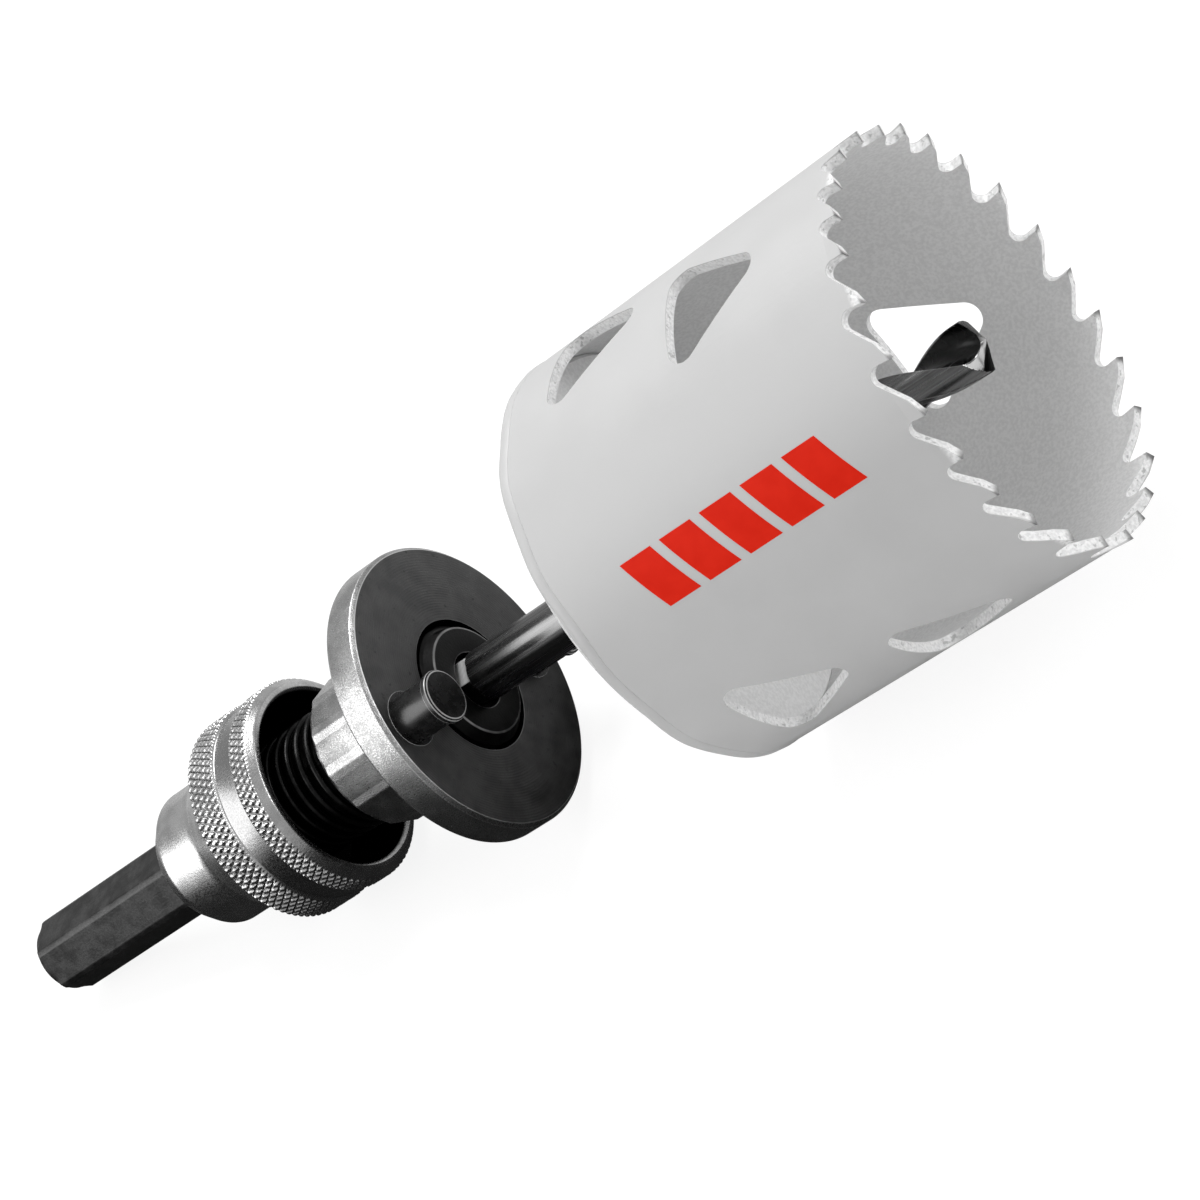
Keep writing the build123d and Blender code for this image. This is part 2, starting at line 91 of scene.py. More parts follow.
@dataclass(frozen=True)
class ToolAxis:
    """The tool's own axis in the row frame. Stations run along it from the drive plate's front face."""

    origin: Vector
    forward: Vector
    shank_end: float = -78.65

    @classmethod
    def from_record(cls, record: dict) -> "ToolAxis":
        """Reads the axis from the mount on the shank's end face.

        Args:
            record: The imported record.

        Returns:
            The tool's axis.
        """
        mount = next(m for m in record["mounts"] if m["name"] == "shank_end")
        forward = -Vector(mount["axis"]).normalized()
        origin = Vector(mount["pos_m"]) - forward * cls.shank_end * MM
        return cls(origin, forward)

    @property
    def side(self) -> Vector:
        """The direction of angle 0 round the axis."""
        return Vector((0.0, 1.0, 0.0))

    @property
    def upward(self) -> Vector:
        """The direction of angle 90 round the axis."""
        return self.forward.cross(self.side)

    def matrix(self) -> Matrix:
        """Takes tool coordinates in millimetres to the row frame in metres.

        Returns:
            The matrix.
        """
        columns = [list(axis * MM) + [0.0] for axis in (self.forward, self.side, self.upward)]
        columns.append(list(self.origin) + [1.0])
        return Matrix(columns).transposed()

    def point(self, station: float, radius: float = 0.0, angle: float = 0.0) -> Vector:
        """A point of the row frame from its station, radius and angle, in millimetres and degrees."""
        turn = math.radians(angle)
        return self.matrix() @ Vector((station, radius * math.cos(turn), radius * math.sin(turn)))


AXIS = ToolAxis.from_record(frame["record"])
DRILL_TURN = 16.0


def rounded(corners: list[tuple], parts: int = 3) -> Outline:
    """Rounds the corners of a turned outline.

    Args:
        corners: (station, radius) or (station, radius, rounding) in millimetres, in order.
        parts: How many spans each rounded corner has.

    Returns:
        (station, radius, wear_and_glint) points, where wear_and_glint is 1 inside the rounded corners, whose
        brightening is part edge wear and part painted highlight.
    """
    outline: Outline = []
    for index, corner in enumerate(corners):
        here = Vector(corner[:2])
        amount = corner[2] if len(corner) > 2 else 0.0
        if amount == 0.0 or index in (0, len(corners) - 1):
            outline.append((here.x, here.y, 0.0))
            continue
        back = Vector(corners[index - 1][:2]) - here
        ahead = Vector(corners[index + 1][:2]) - here
        start = here + back.normalized() * min(amount, back.length * ROUNDING_REACH)
        end = here + ahead.normalized() * min(amount, ahead.length * ROUNDING_REACH)
        for part in range(parts + 1):
            t = part / parts
            spot = start * (1 - t) ** 2 + here * 2 * t * (1 - t) + end * t**2
            outline.append((spot.x, spot.y, 1.0 if 0 < part < parts else 0.0))
    return outline


def refined(outline: Outline, start: float, end: float, step: float, above: float = 0.0) -> Outline:
    """Adds rows between two stations so that none are further apart than a step.

    Args:
        outline: The outline to refine.
        start: Lower station of the stretch.
        end: Upper station of the stretch.
        step: Largest distance between rows.
        above: Smallest radius that is refined.

    Returns:
        The refined outline.
    """
    made: Outline = [outline[0]]
    for here, after in zip(outline, outline[1:]):
        low, high = sorted((here[0], after[0]))
        inside = low >= start - TINY and high <= end + TINY and min(here[1], after[1]) >= above
        parts = max(1, math.ceil((high - low) / step)) if inside else 1
        for part in range(1, parts + 1):
            t = part / parts
            wear_and_glint = after[2] if part == parts else 0.0
            made.append((here[0] + (after[0] - here[0]) * t, here[1] + (after[1] - here[1]) * t, wear_and_glint))
    return made


def object_of(name: str, verts: np.ndarray, faces: list, wear_and_glint: np.ndarray | None = None) -> bpy.types.Object:
    """Makes an object from points in tool coordinates.

    Args:
        name: The piece's name.
        verts: Points in tool coordinates, in millimetres.
        faces: Vertex indices of each face.
        wear_and_glint: Share of edge brightening at each point, part edge wear and part painted highlight.

    Returns:
        The linked object, with its place in its mesh.
    """
    mesh = bpy.data.meshes.new(name)
    mesh.from_pydata([tuple(v) for v in verts], [], faces)
    mesh.transform(AXIS.matrix())
    if wear_and_glint is not None:
        mesh.attributes.new("wear_and_glint", "FLOAT", "POINT").data.foreach_set("value", wear_and_glint.astype(np.float32))
    shape = bmesh.new()
    shape.from_mesh(mesh)
    bmesh.ops.recalc_face_normals(shape, faces=shape.faces)
    shape.to_mesh(mesh)
    shape.free()
    mesh.shade_smooth()
    piece = bpy.data.objects.new(name, mesh)
    bpy.context.scene.collection.objects.link(piece)
    return piece


def sharpened(piece: bpy.types.Object, angle: float = 30.0) -> bpy.types.Object:
    """Keeps edges crisp where faces meet at more than an angle in degrees."""
    piece.data.set_sharp_from_angle(angle=math.radians(angle))
    return piece


def stitched(low: list[int], high: list[int]) -> list[tuple[int, ...]]:
    """Joins two closed rows of points with faces.

    Args:
        low: The first row, or its single point.
        high: The second row, or its single point.

    Returns:
        The faces.
    """
    size = max(len(low), len(high))
    faces = []
    for k in range(size):
        after = (k + 1) % size
        if len(low) == 1:
            faces.append((low[0], high[k], high[after]))
        elif len(high) == 1:
            faces.append((low[k], high[0], low[after]))
        else:
            faces.append((low[k], high[k], high[after], low[after]))
    return faces


def round_form(station: float, radius: float, angles: np.ndarray) -> np.ndarray:
    """A plain round cross-section."""
    return np.full(len(angles), radius)


def polygon_radius(
    angles: np.ndarray, sides: int, flats: float, corner: float, turn: float = 0.0
) -> np.ndarray:
    """Radius of a regular polygon with a flat on top.

    Args:
        angles: Angles round the axis in degrees.
        sides: Number of flats.
        flats: Distance across flats.
        corner: Radius that the corners are blunted to.
        turn: How far the polygon is turned from having a flat on top.

    Returns:
        The radius at each angle.
    """
    half = 180.0 / sides
    from_flat = (angles - turn - 90.0 + half) % (2 * half) - half
    return np.minimum(flats / 2 / np.cos(np.radians(from_flat)), corner)


def spun(
    name: str, outline: Outline, steps: int, form: Shape = round_form, ring: bool = False
) -> bpy.types.Object:
    """Turns an outline about the axis, with any cross-section.

    Args:
        name: The piece's name.
        outline: (station, radius, wear_and_glint) points in order.
        steps: Number of steps round the axis.
        form: Gives the radius at each angle from a station and a radius.
        ring: Whether the last row joins the first.

    Returns:
        The object.
    """
    angles = np.arange(steps) * 360.0 / steps
    turns = np.radians(angles)
    verts, wear_and_glint, rows, faces = [], [], [], []
    for station, radius, worn_and_glint in outline:
        if radius <= 0.0:
            rows.append([len(verts)])
            verts.append((station, 0.0, 0.0))
            wear_and_glint.append(worn_and_glint)
            continue
        radii = form(station, radius, angles)
        rows.append(list(range(len(verts), len(verts) + steps)))
        verts.extend(zip(np.full(steps, station), radii * np.cos(turns), radii * np.sin(turns)))
        wear_and_glint.extend([worn_and_glint] * steps)
    pairs = list(zip(rows, rows[1:]))
    if ring:
        pairs.append((rows[-1], rows[0]))
    for low, high in pairs:
        faces.extend(stitched(low, high))
    return sharpened(object_of(name, np.array(verts), faces, np.array(wear_and_glint)))


class Graph:
    """Short forms for adding and joining nodes in one tree."""

    def __init__(self, tree: bpy.types.NodeTree) -> None:
        """Holds the tree that nodes are added to."""
        self.tree = tree

    def node(self, kind: str, **settings: object) -> bpy.types.Node:
        """Adds a node.

        Args:
            kind: The node's type.
            **settings: Its properties.

        Returns:
            The node.
        """
        made = self.tree.nodes.new(kind)
        for key, value in settings.items():
            setattr(made, key, value)
        return made

    def feed(self, socket: Socket, value: object) -> None:
        """Links a socket to an input, or sets the input's value.

        Args:
            socket: The input.
            value: An output socket, or a plain value.
        """
        if isinstance(value, bpy.types.NodeSocket):
            self.tree.links.new(value, socket)
        else:
            socket.default_value = value

    def math(self, operation: str, *values: object, clamp: bool = False) -> Socket:
        """Works out a sum on two or three values.

        Args:
            operation: The Math node's operation.
            *values: Sockets or numbers.
            clamp: Whether the result is kept between 0 and 1.

        Returns:
            The result.
        """
        made = self.node("ShaderNodeMath", operation=operation, use_clamp=clamp)
        for socket, value in zip(made.inputs, values):
            self.feed(socket, value)
        return made.outputs[0]

    def blend(self, factor: object, low: object, high: object) -> Socket:
        """Mixes two colours.

        Args:
            factor: 0 for the first colour, 1 for the second.
            low: The first colour.
            high: The second colour.

        Returns:
            The mixed colour.
        """
        made = self.node("ShaderNodeMix", data_type="RGBA")
        for index, value in ((0, factor), (6, low), (7, high)):
            self.feed(made.inputs[index], value)
        return made.outputs[2]

    def between(self, factor: object, low: float, high: float) -> Socket:
        """Runs a value from one number to another.

        Args:
            factor: 0 for the first number, 1 for the second.
            low: The first number.
            high: The second number.

        Returns:
            The value.
        """
        made = self.node("ShaderNodeMapRange")
        for index, value in ((0, factor), (3, low), (4, high)):
            self.feed(made.inputs[index], value)
        return made.outputs[0]

    def ramp(self, value: object, start: float, end: float) -> Socket:
        """Rises smoothly from 0 to 1.

        Args:
            value: The value that it follows.
            start: Where the rise begins.
            end: Where the rise ends.

        Returns:
            The risen value.
        """
        made = self.node("ShaderNodeMapRange", interpolation_type="SMOOTHSTEP")
        for index, given in ((0, value), (1, start), (2, end)):
            self.feed(made.inputs[index], given)
        return made.outputs[0]

    def noise(self, spot: object, scale: float, detail: float, rough: float = 0.6) -> Socket:
        """Gives soft noise.

        Args:
            spot: Where a point lies, in millimetres.
            scale: Scale per millimetre.
            detail: How many finer layers it has.
            rough: How strong the finer layers are.

        Returns:
            The noise.
        """
        made = self.node("ShaderNodeTexNoise")
        for label, value in (("Vector", spot), ("Scale", scale), ("Detail", detail), ("Roughness", rough)):
            self.feed(made.inputs[label], value)
        return made.outputs["Fac"]

    def group(self, tree: bpy.types.NodeTree, **values: object) -> Sockets:
        """Places a node group.

        Args:
            tree: The group.
            **values: What feeds its inputs, by name, with _ for a space.

        Returns:
            The group's outputs.
        """
        made = self.node("ShaderNodeGroup", node_tree=tree)
        for key, value in values.items():
            self.feed(made.inputs[key.replace("_", " ")], value)
        return made.outputs

    def bump(self, height: object, relief: Span) -> Socket:
        """Bends the normal by a height.

        Args:
            height: The height.
            relief: Its strength, and its distance in millimetres.

        Returns:
            The bent normal.
        """
        made = self.node("ShaderNodeBump")
        for label, value in (("Strength", relief[0]), ("Distance", relief[1] * MM), ("Height", height)):
            self.feed(made.inputs[label], value)
        return made.outputs["Normal"]


class Effects:
    """The shader node groups that the finishes share."""

    speckle_limits: Span = (0.32, 0.68)
    cloud_detail: float = 5.0
    grain_detail: float = 2.0
    wave_share: float = 0.5
    uneven_scale: float = 0.7
    uneven_detail: float = 3.0
    streak_detail: float = 3.0
    streak_limits: Span = (0.35, 0.65)

    def __init__(self) -> None:
        """Builds every group once."""
        self.place = self._place()
        self.band = self._band()
        self.speckle = self._speckle()
        self.turning = self._turning()
        self.streaks = self._streaks()

    @staticmethod
    def _new(
        name: str, inputs: tuple[str, ...], outputs: tuple[str, ...], vectors: tuple[str, ...]
    ) -> tuple[bpy.types.NodeTree, Graph, Sockets, Sockets]:
        """Starts a group.

        Args:
            name: The group's name.
            inputs: Names of its inputs.
            outputs: Names of its outputs.
            vectors: Which of them are vectors, where the others are numbers.

        Returns:
            The tree, its graph, its input node's outputs and its output node's inputs.
        """
        tree = bpy.data.node_groups.new(name, "ShaderNodeTree")
        for side, labels in (("INPUT", inputs), ("OUTPUT", outputs)):
            for label in labels:
                kind = "NodeSocketVector" if label in vectors else "NodeSocketFloat"
                tree.interface.new_socket(label, in_out=side, socket_type=kind)
        graph = Graph(tree)
        return tree, graph, graph.node("NodeGroupInput").outputs, graph.node("NodeGroupOutput").inputs

    def _place(self) -> bpy.types.NodeTree:
        """Builds the group that says where a point lies on the tool, in millimetres and radians.

        Returns:
            The group.
        """
        labels = ("Spot", "Station", "Radius", "Angle")
        tree, g, _, out = self._new("place_on_tool", (), labels, ("Spot",))
        mapping = g.node("ShaderNodeMapping", vector_type="POINT")
        inverse = AXIS.matrix().inverted()
        g.feed(mapping.inputs["Location"], inverse.translation)
        g.feed(mapping.inputs["Rotation"], inverse.to_euler("XYZ"))
        g.feed(mapping.inputs["Scale"], (1 / MM,) * 3)
        g.feed(mapping.inputs["Vector"], g.node("ShaderNodeTexCoord").outputs["Object"])
        split = g.node("ShaderNodeSeparateXYZ")
        g.feed(split.inputs[0], mapping.outputs[0])
        station, across, height = split.outputs
        squares = g.math("ADD", g.math("MULTIPLY", across, across), g.math("MULTIPLY", height, height))
        g.feed(out["Spot"], mapping.outputs[0])
        g.feed(out["Station"], station)
        g.feed(out["Radius"], g.math("SQRT", squares))
        g.feed(out["Angle"], g.math("ARCTAN2", height, across))
        return tree

    def _band(self) -> bpy.types.NodeTree:
        """Builds the group that is 1 where a value lies between two limits, with soft ends.

        Returns:
            The group.
        """
        tree, g, given, out = self._new("band", ("Value", "From", "To", "Softness"), ("Mask",), ())
        value, start, end, soft = given[:4]
        rise = g.math("DIVIDE", g.math("SUBTRACT", value, start), soft)
        fall = g.math("DIVIDE", g.math("SUBTRACT", end, value), soft)
        low = g.math("ADD", rise, 0.5, clamp=True)
        high = g.math("ADD", fall, 0.5, clamp=True)
        g.feed(out["Mask"], g.math("MULTIPLY", low, high))
        return tree

    def _speckle(self) -> bpy.types.NodeTree:
        """Builds the group of broad clouds and fine grain, each about 0 to 1.

        Returns:
            The group.
        """
        inputs = ("Spot", "Cloud Scale", "Grain Scale")
        tree, g, given, out = self._new("speckle", inputs, ("Clouds", "Grain"), ("Spot",))
        layers = (("Clouds", "Cloud Scale", self.cloud_detail), ("Grain", "Grain Scale", self.grain_detail))
        for label, scale, detail in layers:
            noise = g.node("ShaderNodeTexNoise")
            for name, value in (("Vector", given["Spot"]), ("Scale", given[scale]), ("Detail", detail)):
                g.feed(noise.inputs[name], value)
            g.feed(out[label], g.ramp(noise.outputs["Fac"], *self.speckle_limits))
        return tree

    def _turning(self) -> bpy.types.NodeTree:
        """Builds the group of fine lathe marks along a coordinate, uneven from one to the next.

        Returns:
            The group.
        """
        tree, g, given, out = self._new("turning_marks", ("Coordinate", "Per mm"), ("Height",), ())
        phase = g.math("MULTIPLY", given["Coordinate"], given["Per mm"])
        wave = g.math("SINE", g.math("MULTIPLY", phase, FULL_TURN))
        uneven = g.node("ShaderNodeTexNoise", noise_dimensions="1D")
        for name, value in (("W", phase), ("Scale", self.uneven_scale), ("Detail", self.uneven_detail)):
            g.feed(uneven.inputs[name], value)
        marks = g.math("ADD", g.math("MULTIPLY", wave, self.wave_share), uneven.outputs["Fac"])
        g.feed(out["Height"], marks)
        return tree

    def _streaks(self) -> bpy.types.NodeTree:
        """Builds the group of streaks that run along the axis, 0 to 1.

        Returns:
            The group.
        """
        tree, g, given, out = self._new("streaks", ("Station", "Angle", "Round", "Along"), ("Streak",), ())
        join = g.node("ShaderNodeCombineXYZ")
        g.feed(join.inputs[0], g.math("MULTIPLY", given["Station"], given["Along"]))
        g.feed(join.inputs[1], g.math("MULTIPLY", g.math("COSINE", given["Angle"]), given["Round"]))
        g.feed(join.inputs[2], g.math("MULTIPLY", g.math("SINE", given["Angle"]), given["Round"]))
        noise = g.noise(join.outputs[0], 1.0, self.streak_detail)
        g.feed(out["Streak"], g.ramp(noise, *self.streak_limits))
        return tree


EFFECTS = Effects()


def grey(level: float) -> Colour:
    """A neutral colour."""
    return (level, level, level, 1.0)


class Finish:
    """What finishes share: one Principled BSDF, where a point lies on the tool, and soft variation."""

    name: str = "finish"
    cloud_scale: float = 0.5
    grain_scale: float = 5.0

    def material(self) -> bpy.types.Material:
        """Builds the finish's material.

        Returns:
            The material.
        """
        made = bpy.data.materials.new(self.name)
        made.use_nodes = True
        graph = Graph(made.node_tree)
        shader = made.node_tree.nodes["Principled BSDF"]
        self.shade(graph, shader.inputs, graph.group(EFFECTS.place))
        return made

    def shade(self, g: Graph, shader: Sockets, at: Sockets) -> None:
        """Joins the finish's nodes to the shader.

        Args:
            g: The material's graph.
            shader: The shader's inputs.
            at: Where a point lies on the tool.
        """
        raise NotImplementedError

    def mottle(self, g: Graph, at: Sockets) -> Sockets:
        """Places the clouds and the grain at the finish's own scales.

        Args:
            g: The material's graph.
            at: Where a point lies on the tool.

        Returns:
            Outputs named Clouds and Grain.
        """
        scales = {"Cloud_Scale": self.cloud_scale, "Grain_Scale": self.grain_scale}
        return g.group(EFFECTS.speckle, Spot=at["Spot"], **scales)

    @staticmethod
    def varied(g: Graph, mask: Socket, level: float, shares: Span) -> Socket:
        """A grey that runs between two shares of a level as a mask runs from 0 to 1."""
        return g.blend(mask, grey(level * shares[0]), grey(level * shares[1]))

    @staticmethod
    def laid(g: Graph, mask: Socket, share: float, under: Socket, level: float) -> Socket:
        """A colour with a grey laid over it where a mask is, up to a share."""
        return g.blend(g.math("MULTIPLY", mask, share), under, grey(level))

    @staticmethod
    def banded(g: Graph, value: Socket, limits: Span, soft: float) -> Socket:
        """A mask that is 1 between two limits."""
        return g.group(EFFECTS.band, Value=value, From=limits[0], To=limits[1], Softness=soft)[0]

    @staticmethod
    def wear_and_glint(g: Graph) -> Socket:
        """The share of edge brightening that the mesh carries, part edge wear and part painted highlight."""
        return g.node("ShaderNodeAttribute", attribute_name="wear_and_glint").outputs["Fac"]


@dataclass(frozen=True)
class SawEnamel(Finish):
    """Satin grey enamel outside, the same enamel painted paler inside as painted light, speckled inside,
    pitted on cut edges, bare steel at the tips.
    """

    name: str = "saw_enamel"
    cloud_scale: float = 0.12
    grain_scale: float = 2.6
    outside: float = 0.50
    outside_shares: Span = (0.985, 1.01)
    # Painted light: the inside is the same enamel, painted paler for the light that reaches the inner wall.
    inside: float = 0.70
    inside_shares: Span = (0.93, 1.06)
    bore: Span = (0.0, 24.3)
    bore_softness: float = 0.15
    edges: float = 0.80
    edge_shares: Span = (0.8, 1.02)
    cut: Span = (24.13, 25.21)
    cut_softness: float = 0.05
    pit_scale: float = 1.7
    pit_detail: float = 3.0
    pit_limits: Span = (0.57, 0.66)
    pit_share: float = 0.55
    pit_level: float = 0.24
    tips: Span = (80.4, 80.75)
    tip_share: float = 0.7
    tip_level: float = 0.16
    rough: Span = (0.40, 0.50)
    ripple_scale: float = 1.4
    ripple_detail: float = 3.0
    relief: Span = (0.25, 0.05)

    def shade(self, g: Graph, shader: Sockets, at: Sockets) -> None:
        """Joins the enamel's nodes to the shader.

        Args:
            g: The material's graph.
            shader: The shader's inputs.
            at: Where a point lies on the tool.
        """
        mottle = self.mottle(g, at)
        outer = self.varied(g, mottle["Clouds"], self.outside, self.outside_shares)
        # Painted light: the inner wall is painted paler than the outside.
        inner = self.varied(g, mottle["Grain"], self.inside, self.inside_shares)
        within = self.banded(g, at["Radius"], self.bore, self.bore_softness)
        painted = g.blend(within, outer, inner)
        rough_cut = self.varied(g, mottle["Grain"], self.edges, self.edge_shares)
        pits = g.ramp(g.noise(at["Spot"], self.pit_scale, self.pit_detail), *self.pit_limits)
        pitted = self.laid(g, pits, self.pit_share, rough_cut, self.pit_level)
        edged = g.blend(self.banded(g, at["Radius"], self.cut, self.cut_softness), painted, pitted)
        tip = g.ramp(at["Station"], *self.tips)
        g.feed(shader["Base Color"], self.laid(g, tip, self.tip_share, edged, self.tip_level))
        g.feed(shader["Metallic"], g.math("MULTIPLY", tip, self.tip_share))
        g.feed(shader["Roughness"], g.between(mottle["Clouds"], *self.rough))
        ripple = g.noise(at["Spot"], self.ripple_scale, self.ripple_detail)
        g.feed(shader["Normal"], g.bump(ripple, self.relief))


@dataclass(frozen=True)
class Print(Finish):
    """Flat red print on the enamel."""

    name: str = "red_print"
    cloud_scale: float = 0.4
    grain_scale: float = 4.0
    thin: Colour = (0.66, 0.015, 0.004, 1.0)
    full: Colour = (0.70, 0.019, 0.006, 1.0)
    specular: float = 0.06
    rough: Span = (0.42, 0.50)

    def shade(self, g: Graph, shader: Sockets, at: Sockets) -> None:
        """Joins the print's nodes to the shader.

        Args:
            g: The material's graph.
            shader: The shader's inputs.
            at: Where a point lies on the tool.
        """
        mottle = self.mottle(g, at)
        g.feed(shader["Base Color"], g.blend(mottle["Clouds"], self.thin, self.full))
        shader["Specular IOR Level"].default_value = self.specular
        g.feed(shader["Roughness"], g.between(mottle["Grain"], *self.rough))


@dataclass(frozen=True)
class PlateSteel(Finish):
    """Bright plated steel with a dark, finely turned front face, and painted shade that darkens its bore."""

    name: str = "plate_steel"
    cloud_scale: float = 0.35
    grain_scale: float = 6.5
    front: Span = (-0.2, -0.1)
    face: Span = (8.0, 18.0)
    # Painted shade: the bore is painted near black.
    bore: Span = (0.0, 8.6)
    bore_shade_level: float = 0.02
    softness: float = 0.1
    bright: float = 0.62
    bright_shares: Span = (0.72, 1.12)
    bright_fleck: float = 0.186
    bright_fleck_share: float = 0.6
    dark: float = 0.118
    dark_shares: Span = (0.78, 1.16)
    stain_scale: float = 0.9
    stain_detail: float = 5.0
    stain_limits: Span = (0.62, 0.70)
    stain_share: float = 0.6
    stain_level: float = 0.0354
    dark_fleck: float = 0.0826
    dark_fleck_share: float = 0.35
    worn_and_glint: float = 0.75
    rim_rough: Span = (0.24, 0.40)
    face_rough: Span = (0.42, 0.52)
    rings_per_mm: float = 2.9
    ring_height: float = 1.9
    grain_height: Span = (1.5, 0.6)
    relief: Span = (0.28, 0.03)

    def shade(self, g: Graph, shader: Sockets, at: Sockets) -> None:
        """Joins the plate's nodes to the shader.

        Args:
            g: The material's graph.
            shader: The shader's inputs.
            at: Where a point lies on the tool.
        """
        mottle = self.mottle(g, at)
        inside = self.banded(g, at["Radius"], self.face, self.softness)
        face = g.math("MULTIPLY", g.ramp(at["Station"], *self.front), inside)
        stained = self.varied(g, mottle["Clouds"], self.dark, self.dark_shares)
        stains = g.ramp(g.noise(at["Spot"], self.stain_scale, self.stain_detail), *self.stain_limits)
        spotted = self.laid(g, stains, self.stain_share, stained, self.stain_level)
        pitted = self.laid(g, mottle["Grain"], self.dark_fleck_share, spotted, self.dark_fleck)
        plated = self.varied(g, mottle["Clouds"], self.bright, self.bright_shares)
        flecked = self.laid(g, mottle["Grain"], self.bright_fleck_share, plated, self.bright_fleck)
        # Rounded edges are painted brighter: part edge wear, part painted highlight.
        worn_and_glint = g.blend(self.wear_and_glint(g), g.blend(face, flecked, pitted), grey(self.worn_and_glint))
        # Painted shade: the inside of the bore is painted near black.
        bore = self.banded(g, at["Radius"], self.bore, self.softness)
        g.feed(shader["Base Color"], g.blend(bore, worn_and_glint, grey(self.bore_shade_level)))
        shader["Metallic"].default_value = 1.0
        rim_rough = g.between(mottle["Grain"], *self.rim_rough)
        face_rough = g.between(mottle["Clouds"], *self.face_rough)
        g.feed(shader["Roughness"], g.blend(face, rim_rough, face_rough))
        rings = g.group(EFFECTS.turning, Coordinate=at["Radius"], Per_mm=self.rings_per_mm)[0]
        grain = g.math("MULTIPLY", mottle["Grain"], g.between(face, *self.grain_height))
        turned = g.math("MULTIPLY", rings, g.between(face, 0.0, self.ring_height))
        g.feed(shader["Normal"], g.bump(g.math("ADD", turned, grain), self.relief))


@dataclass(frozen=True)
class CollarZinc(Finish):
    """Bright zinc, darkened in the knurl grooves as painted shade, with a duller middle band, and painted
    near black in the bore as painted shade.
    """

    name: str = "collar_zinc"
    cloud_scale: float = 0.4
    grain_scale: float = 4.5
    bright: float = 0.72
    bright_shares: Span = (0.8, 1.1)
    fleck: float = 0.36
    fleck_share: float = 0.3
    middle: Span = (-31.3, -28.4)
    middle_softness: float = 0.2
    middle_share: float = 0.75
    middle_level: float = 0.3024
    # Painted shade: the knurl grooves are darkened by their depth.
    groove: Span = (0.35, 1.0)
    groove_share: float = 0.95
    groove_shade_level: float = 0.03
    # Painted shade: inside the bore, in front of the spring's floor, the zinc is painted near black.
    bore: Span = (0.0, 11.75)
    bore_softness: float = 0.2
    bore_shade_level: float = 0.012
    floor: Span = (-35.3, -35.1)
    rough: Span = (0.20, 0.34)
    marks_per_mm: float = 5.0
    mark_share: float = 0.5
    relief: Span = (0.16, 0.03)

    def shade(self, g: Graph, shader: Sockets, at: Sockets) -> None:
        """Joins the collar's nodes to the shader.

        Args:
            g: The material's graph.
            shader: The shader's inputs.
            at: Where a point lies on the tool.
        """
        mottle = self.mottle(g, at)
        plated = self.varied(g, mottle["Clouds"], self.bright, self.bright_shares)
        flecked = self.laid(g, mottle["Grain"], self.fleck_share, plated, self.fleck)
        middle = self.banded(g, at["Station"], self.middle, self.middle_softness)
        dulled = self.laid(g, middle, self.middle_share, flecked, self.middle_level)
        # Painted shade: the deeper a point lies in a knurl groove, the darker it is painted.
        depth = g.node("ShaderNodeAttribute", attribute_name="groove").outputs["Fac"]
        groove_shaded = self.laid(g, g.ramp(depth, *self.groove), self.groove_share, dulled, self.groove_shade_level)
        within = self.banded(g, at["Radius"], self.bore, self.bore_softness)
        # Painted shade: the bore's inside is painted near black.
        bore_shade = g.math("MULTIPLY", within, g.ramp(at["Station"], *self.floor))
        g.feed(shader["Base Color"], g.blend(bore_shade, groove_shaded, grey(self.bore_shade_level)))
        shader["Metallic"].default_value = 1.0
        g.feed(shader["Roughness"], g.between(mottle["Grain"], *self.rough))
        marks = g.group(EFFECTS.turning, Coordinate=at["Station"], Per_mm=self.marks_per_mm)[0]
        height = g.math("ADD", g.math("MULTIPLY", marks, self.mark_share), mottle["Grain"])
        g.feed(shader["Normal"], g.bump(height, self.relief))


@dataclass(frozen=True)
class ArborSteel(Finish):
    """Black oxide on the nose and stem, dark grey on the shank, brighter on rounded edges, part edge wear
    and part painted highlight.
    """

    name: str = "arbor_steel"
    cloud_scale: float = 0.5
    grain_scale: float = 3.5
    nose: float = 0.009
    nose_shares: Span = (0.8, 1.5)
    shank: float = 0.075
    shank_shares: Span = (0.72, 1.25)
    shank_front: Span = (-36.2, -35.8)
    fleck: float = 0.04125
    fleck_share: float = 0.4
    worn_and_glint: float = 0.34
    worn_and_glint_shares: Span = (0.55, 1.0)
    metallic: float = 0.9
    rough: Span = (0.30, 0.46)
    streak_round: float = 14.0
    streak_along: float = 0.05
    streak_share: float = 0.6
    relief: Span = (0.18, 0.03)

    def shade(self, g: Graph, shader: Sockets, at: Sockets) -> None:
        """Joins the arbor's nodes to the shader.

        Args:
            g: The material's graph.
            shader: The shader's inputs.
            at: Where a point lies on the tool.
        """
        mottle = self.mottle(g, at)
        behind = g.math("SUBTRACT", 1.0, g.ramp(at["Station"], *self.shank_front))
        oxide = self.varied(g, mottle["Clouds"], self.nose, self.nose_shares)
        rolled = self.varied(g, mottle["Clouds"], self.shank, self.shank_shares)
        base = g.blend(behind, oxide, self.laid(g, mottle["Grain"], self.fleck_share, rolled, self.fleck))
        # Rounded edges are painted brighter: part edge wear, part painted highlight.
        edge = g.math("MULTIPLY", self.wear_and_glint(g), g.between(mottle["Clouds"], *self.worn_and_glint_shares))
        g.feed(shader["Base Color"], g.blend(edge, base, grey(self.worn_and_glint)))
        shader["Metallic"].default_value = self.metallic
        g.feed(shader["Roughness"], g.between(mottle["Clouds"], *self.rough))
        streak = g.group(EFFECTS.streaks, Station=at["Station"], Angle=at["Angle"],
                         Round=self.streak_round, Along=self.streak_along)[0]
        height = g.math("ADD", g.math("MULTIPLY", streak, self.streak_share), mottle["Grain"])
        g.feed(shader["Normal"], g.bump(height, self.relief))


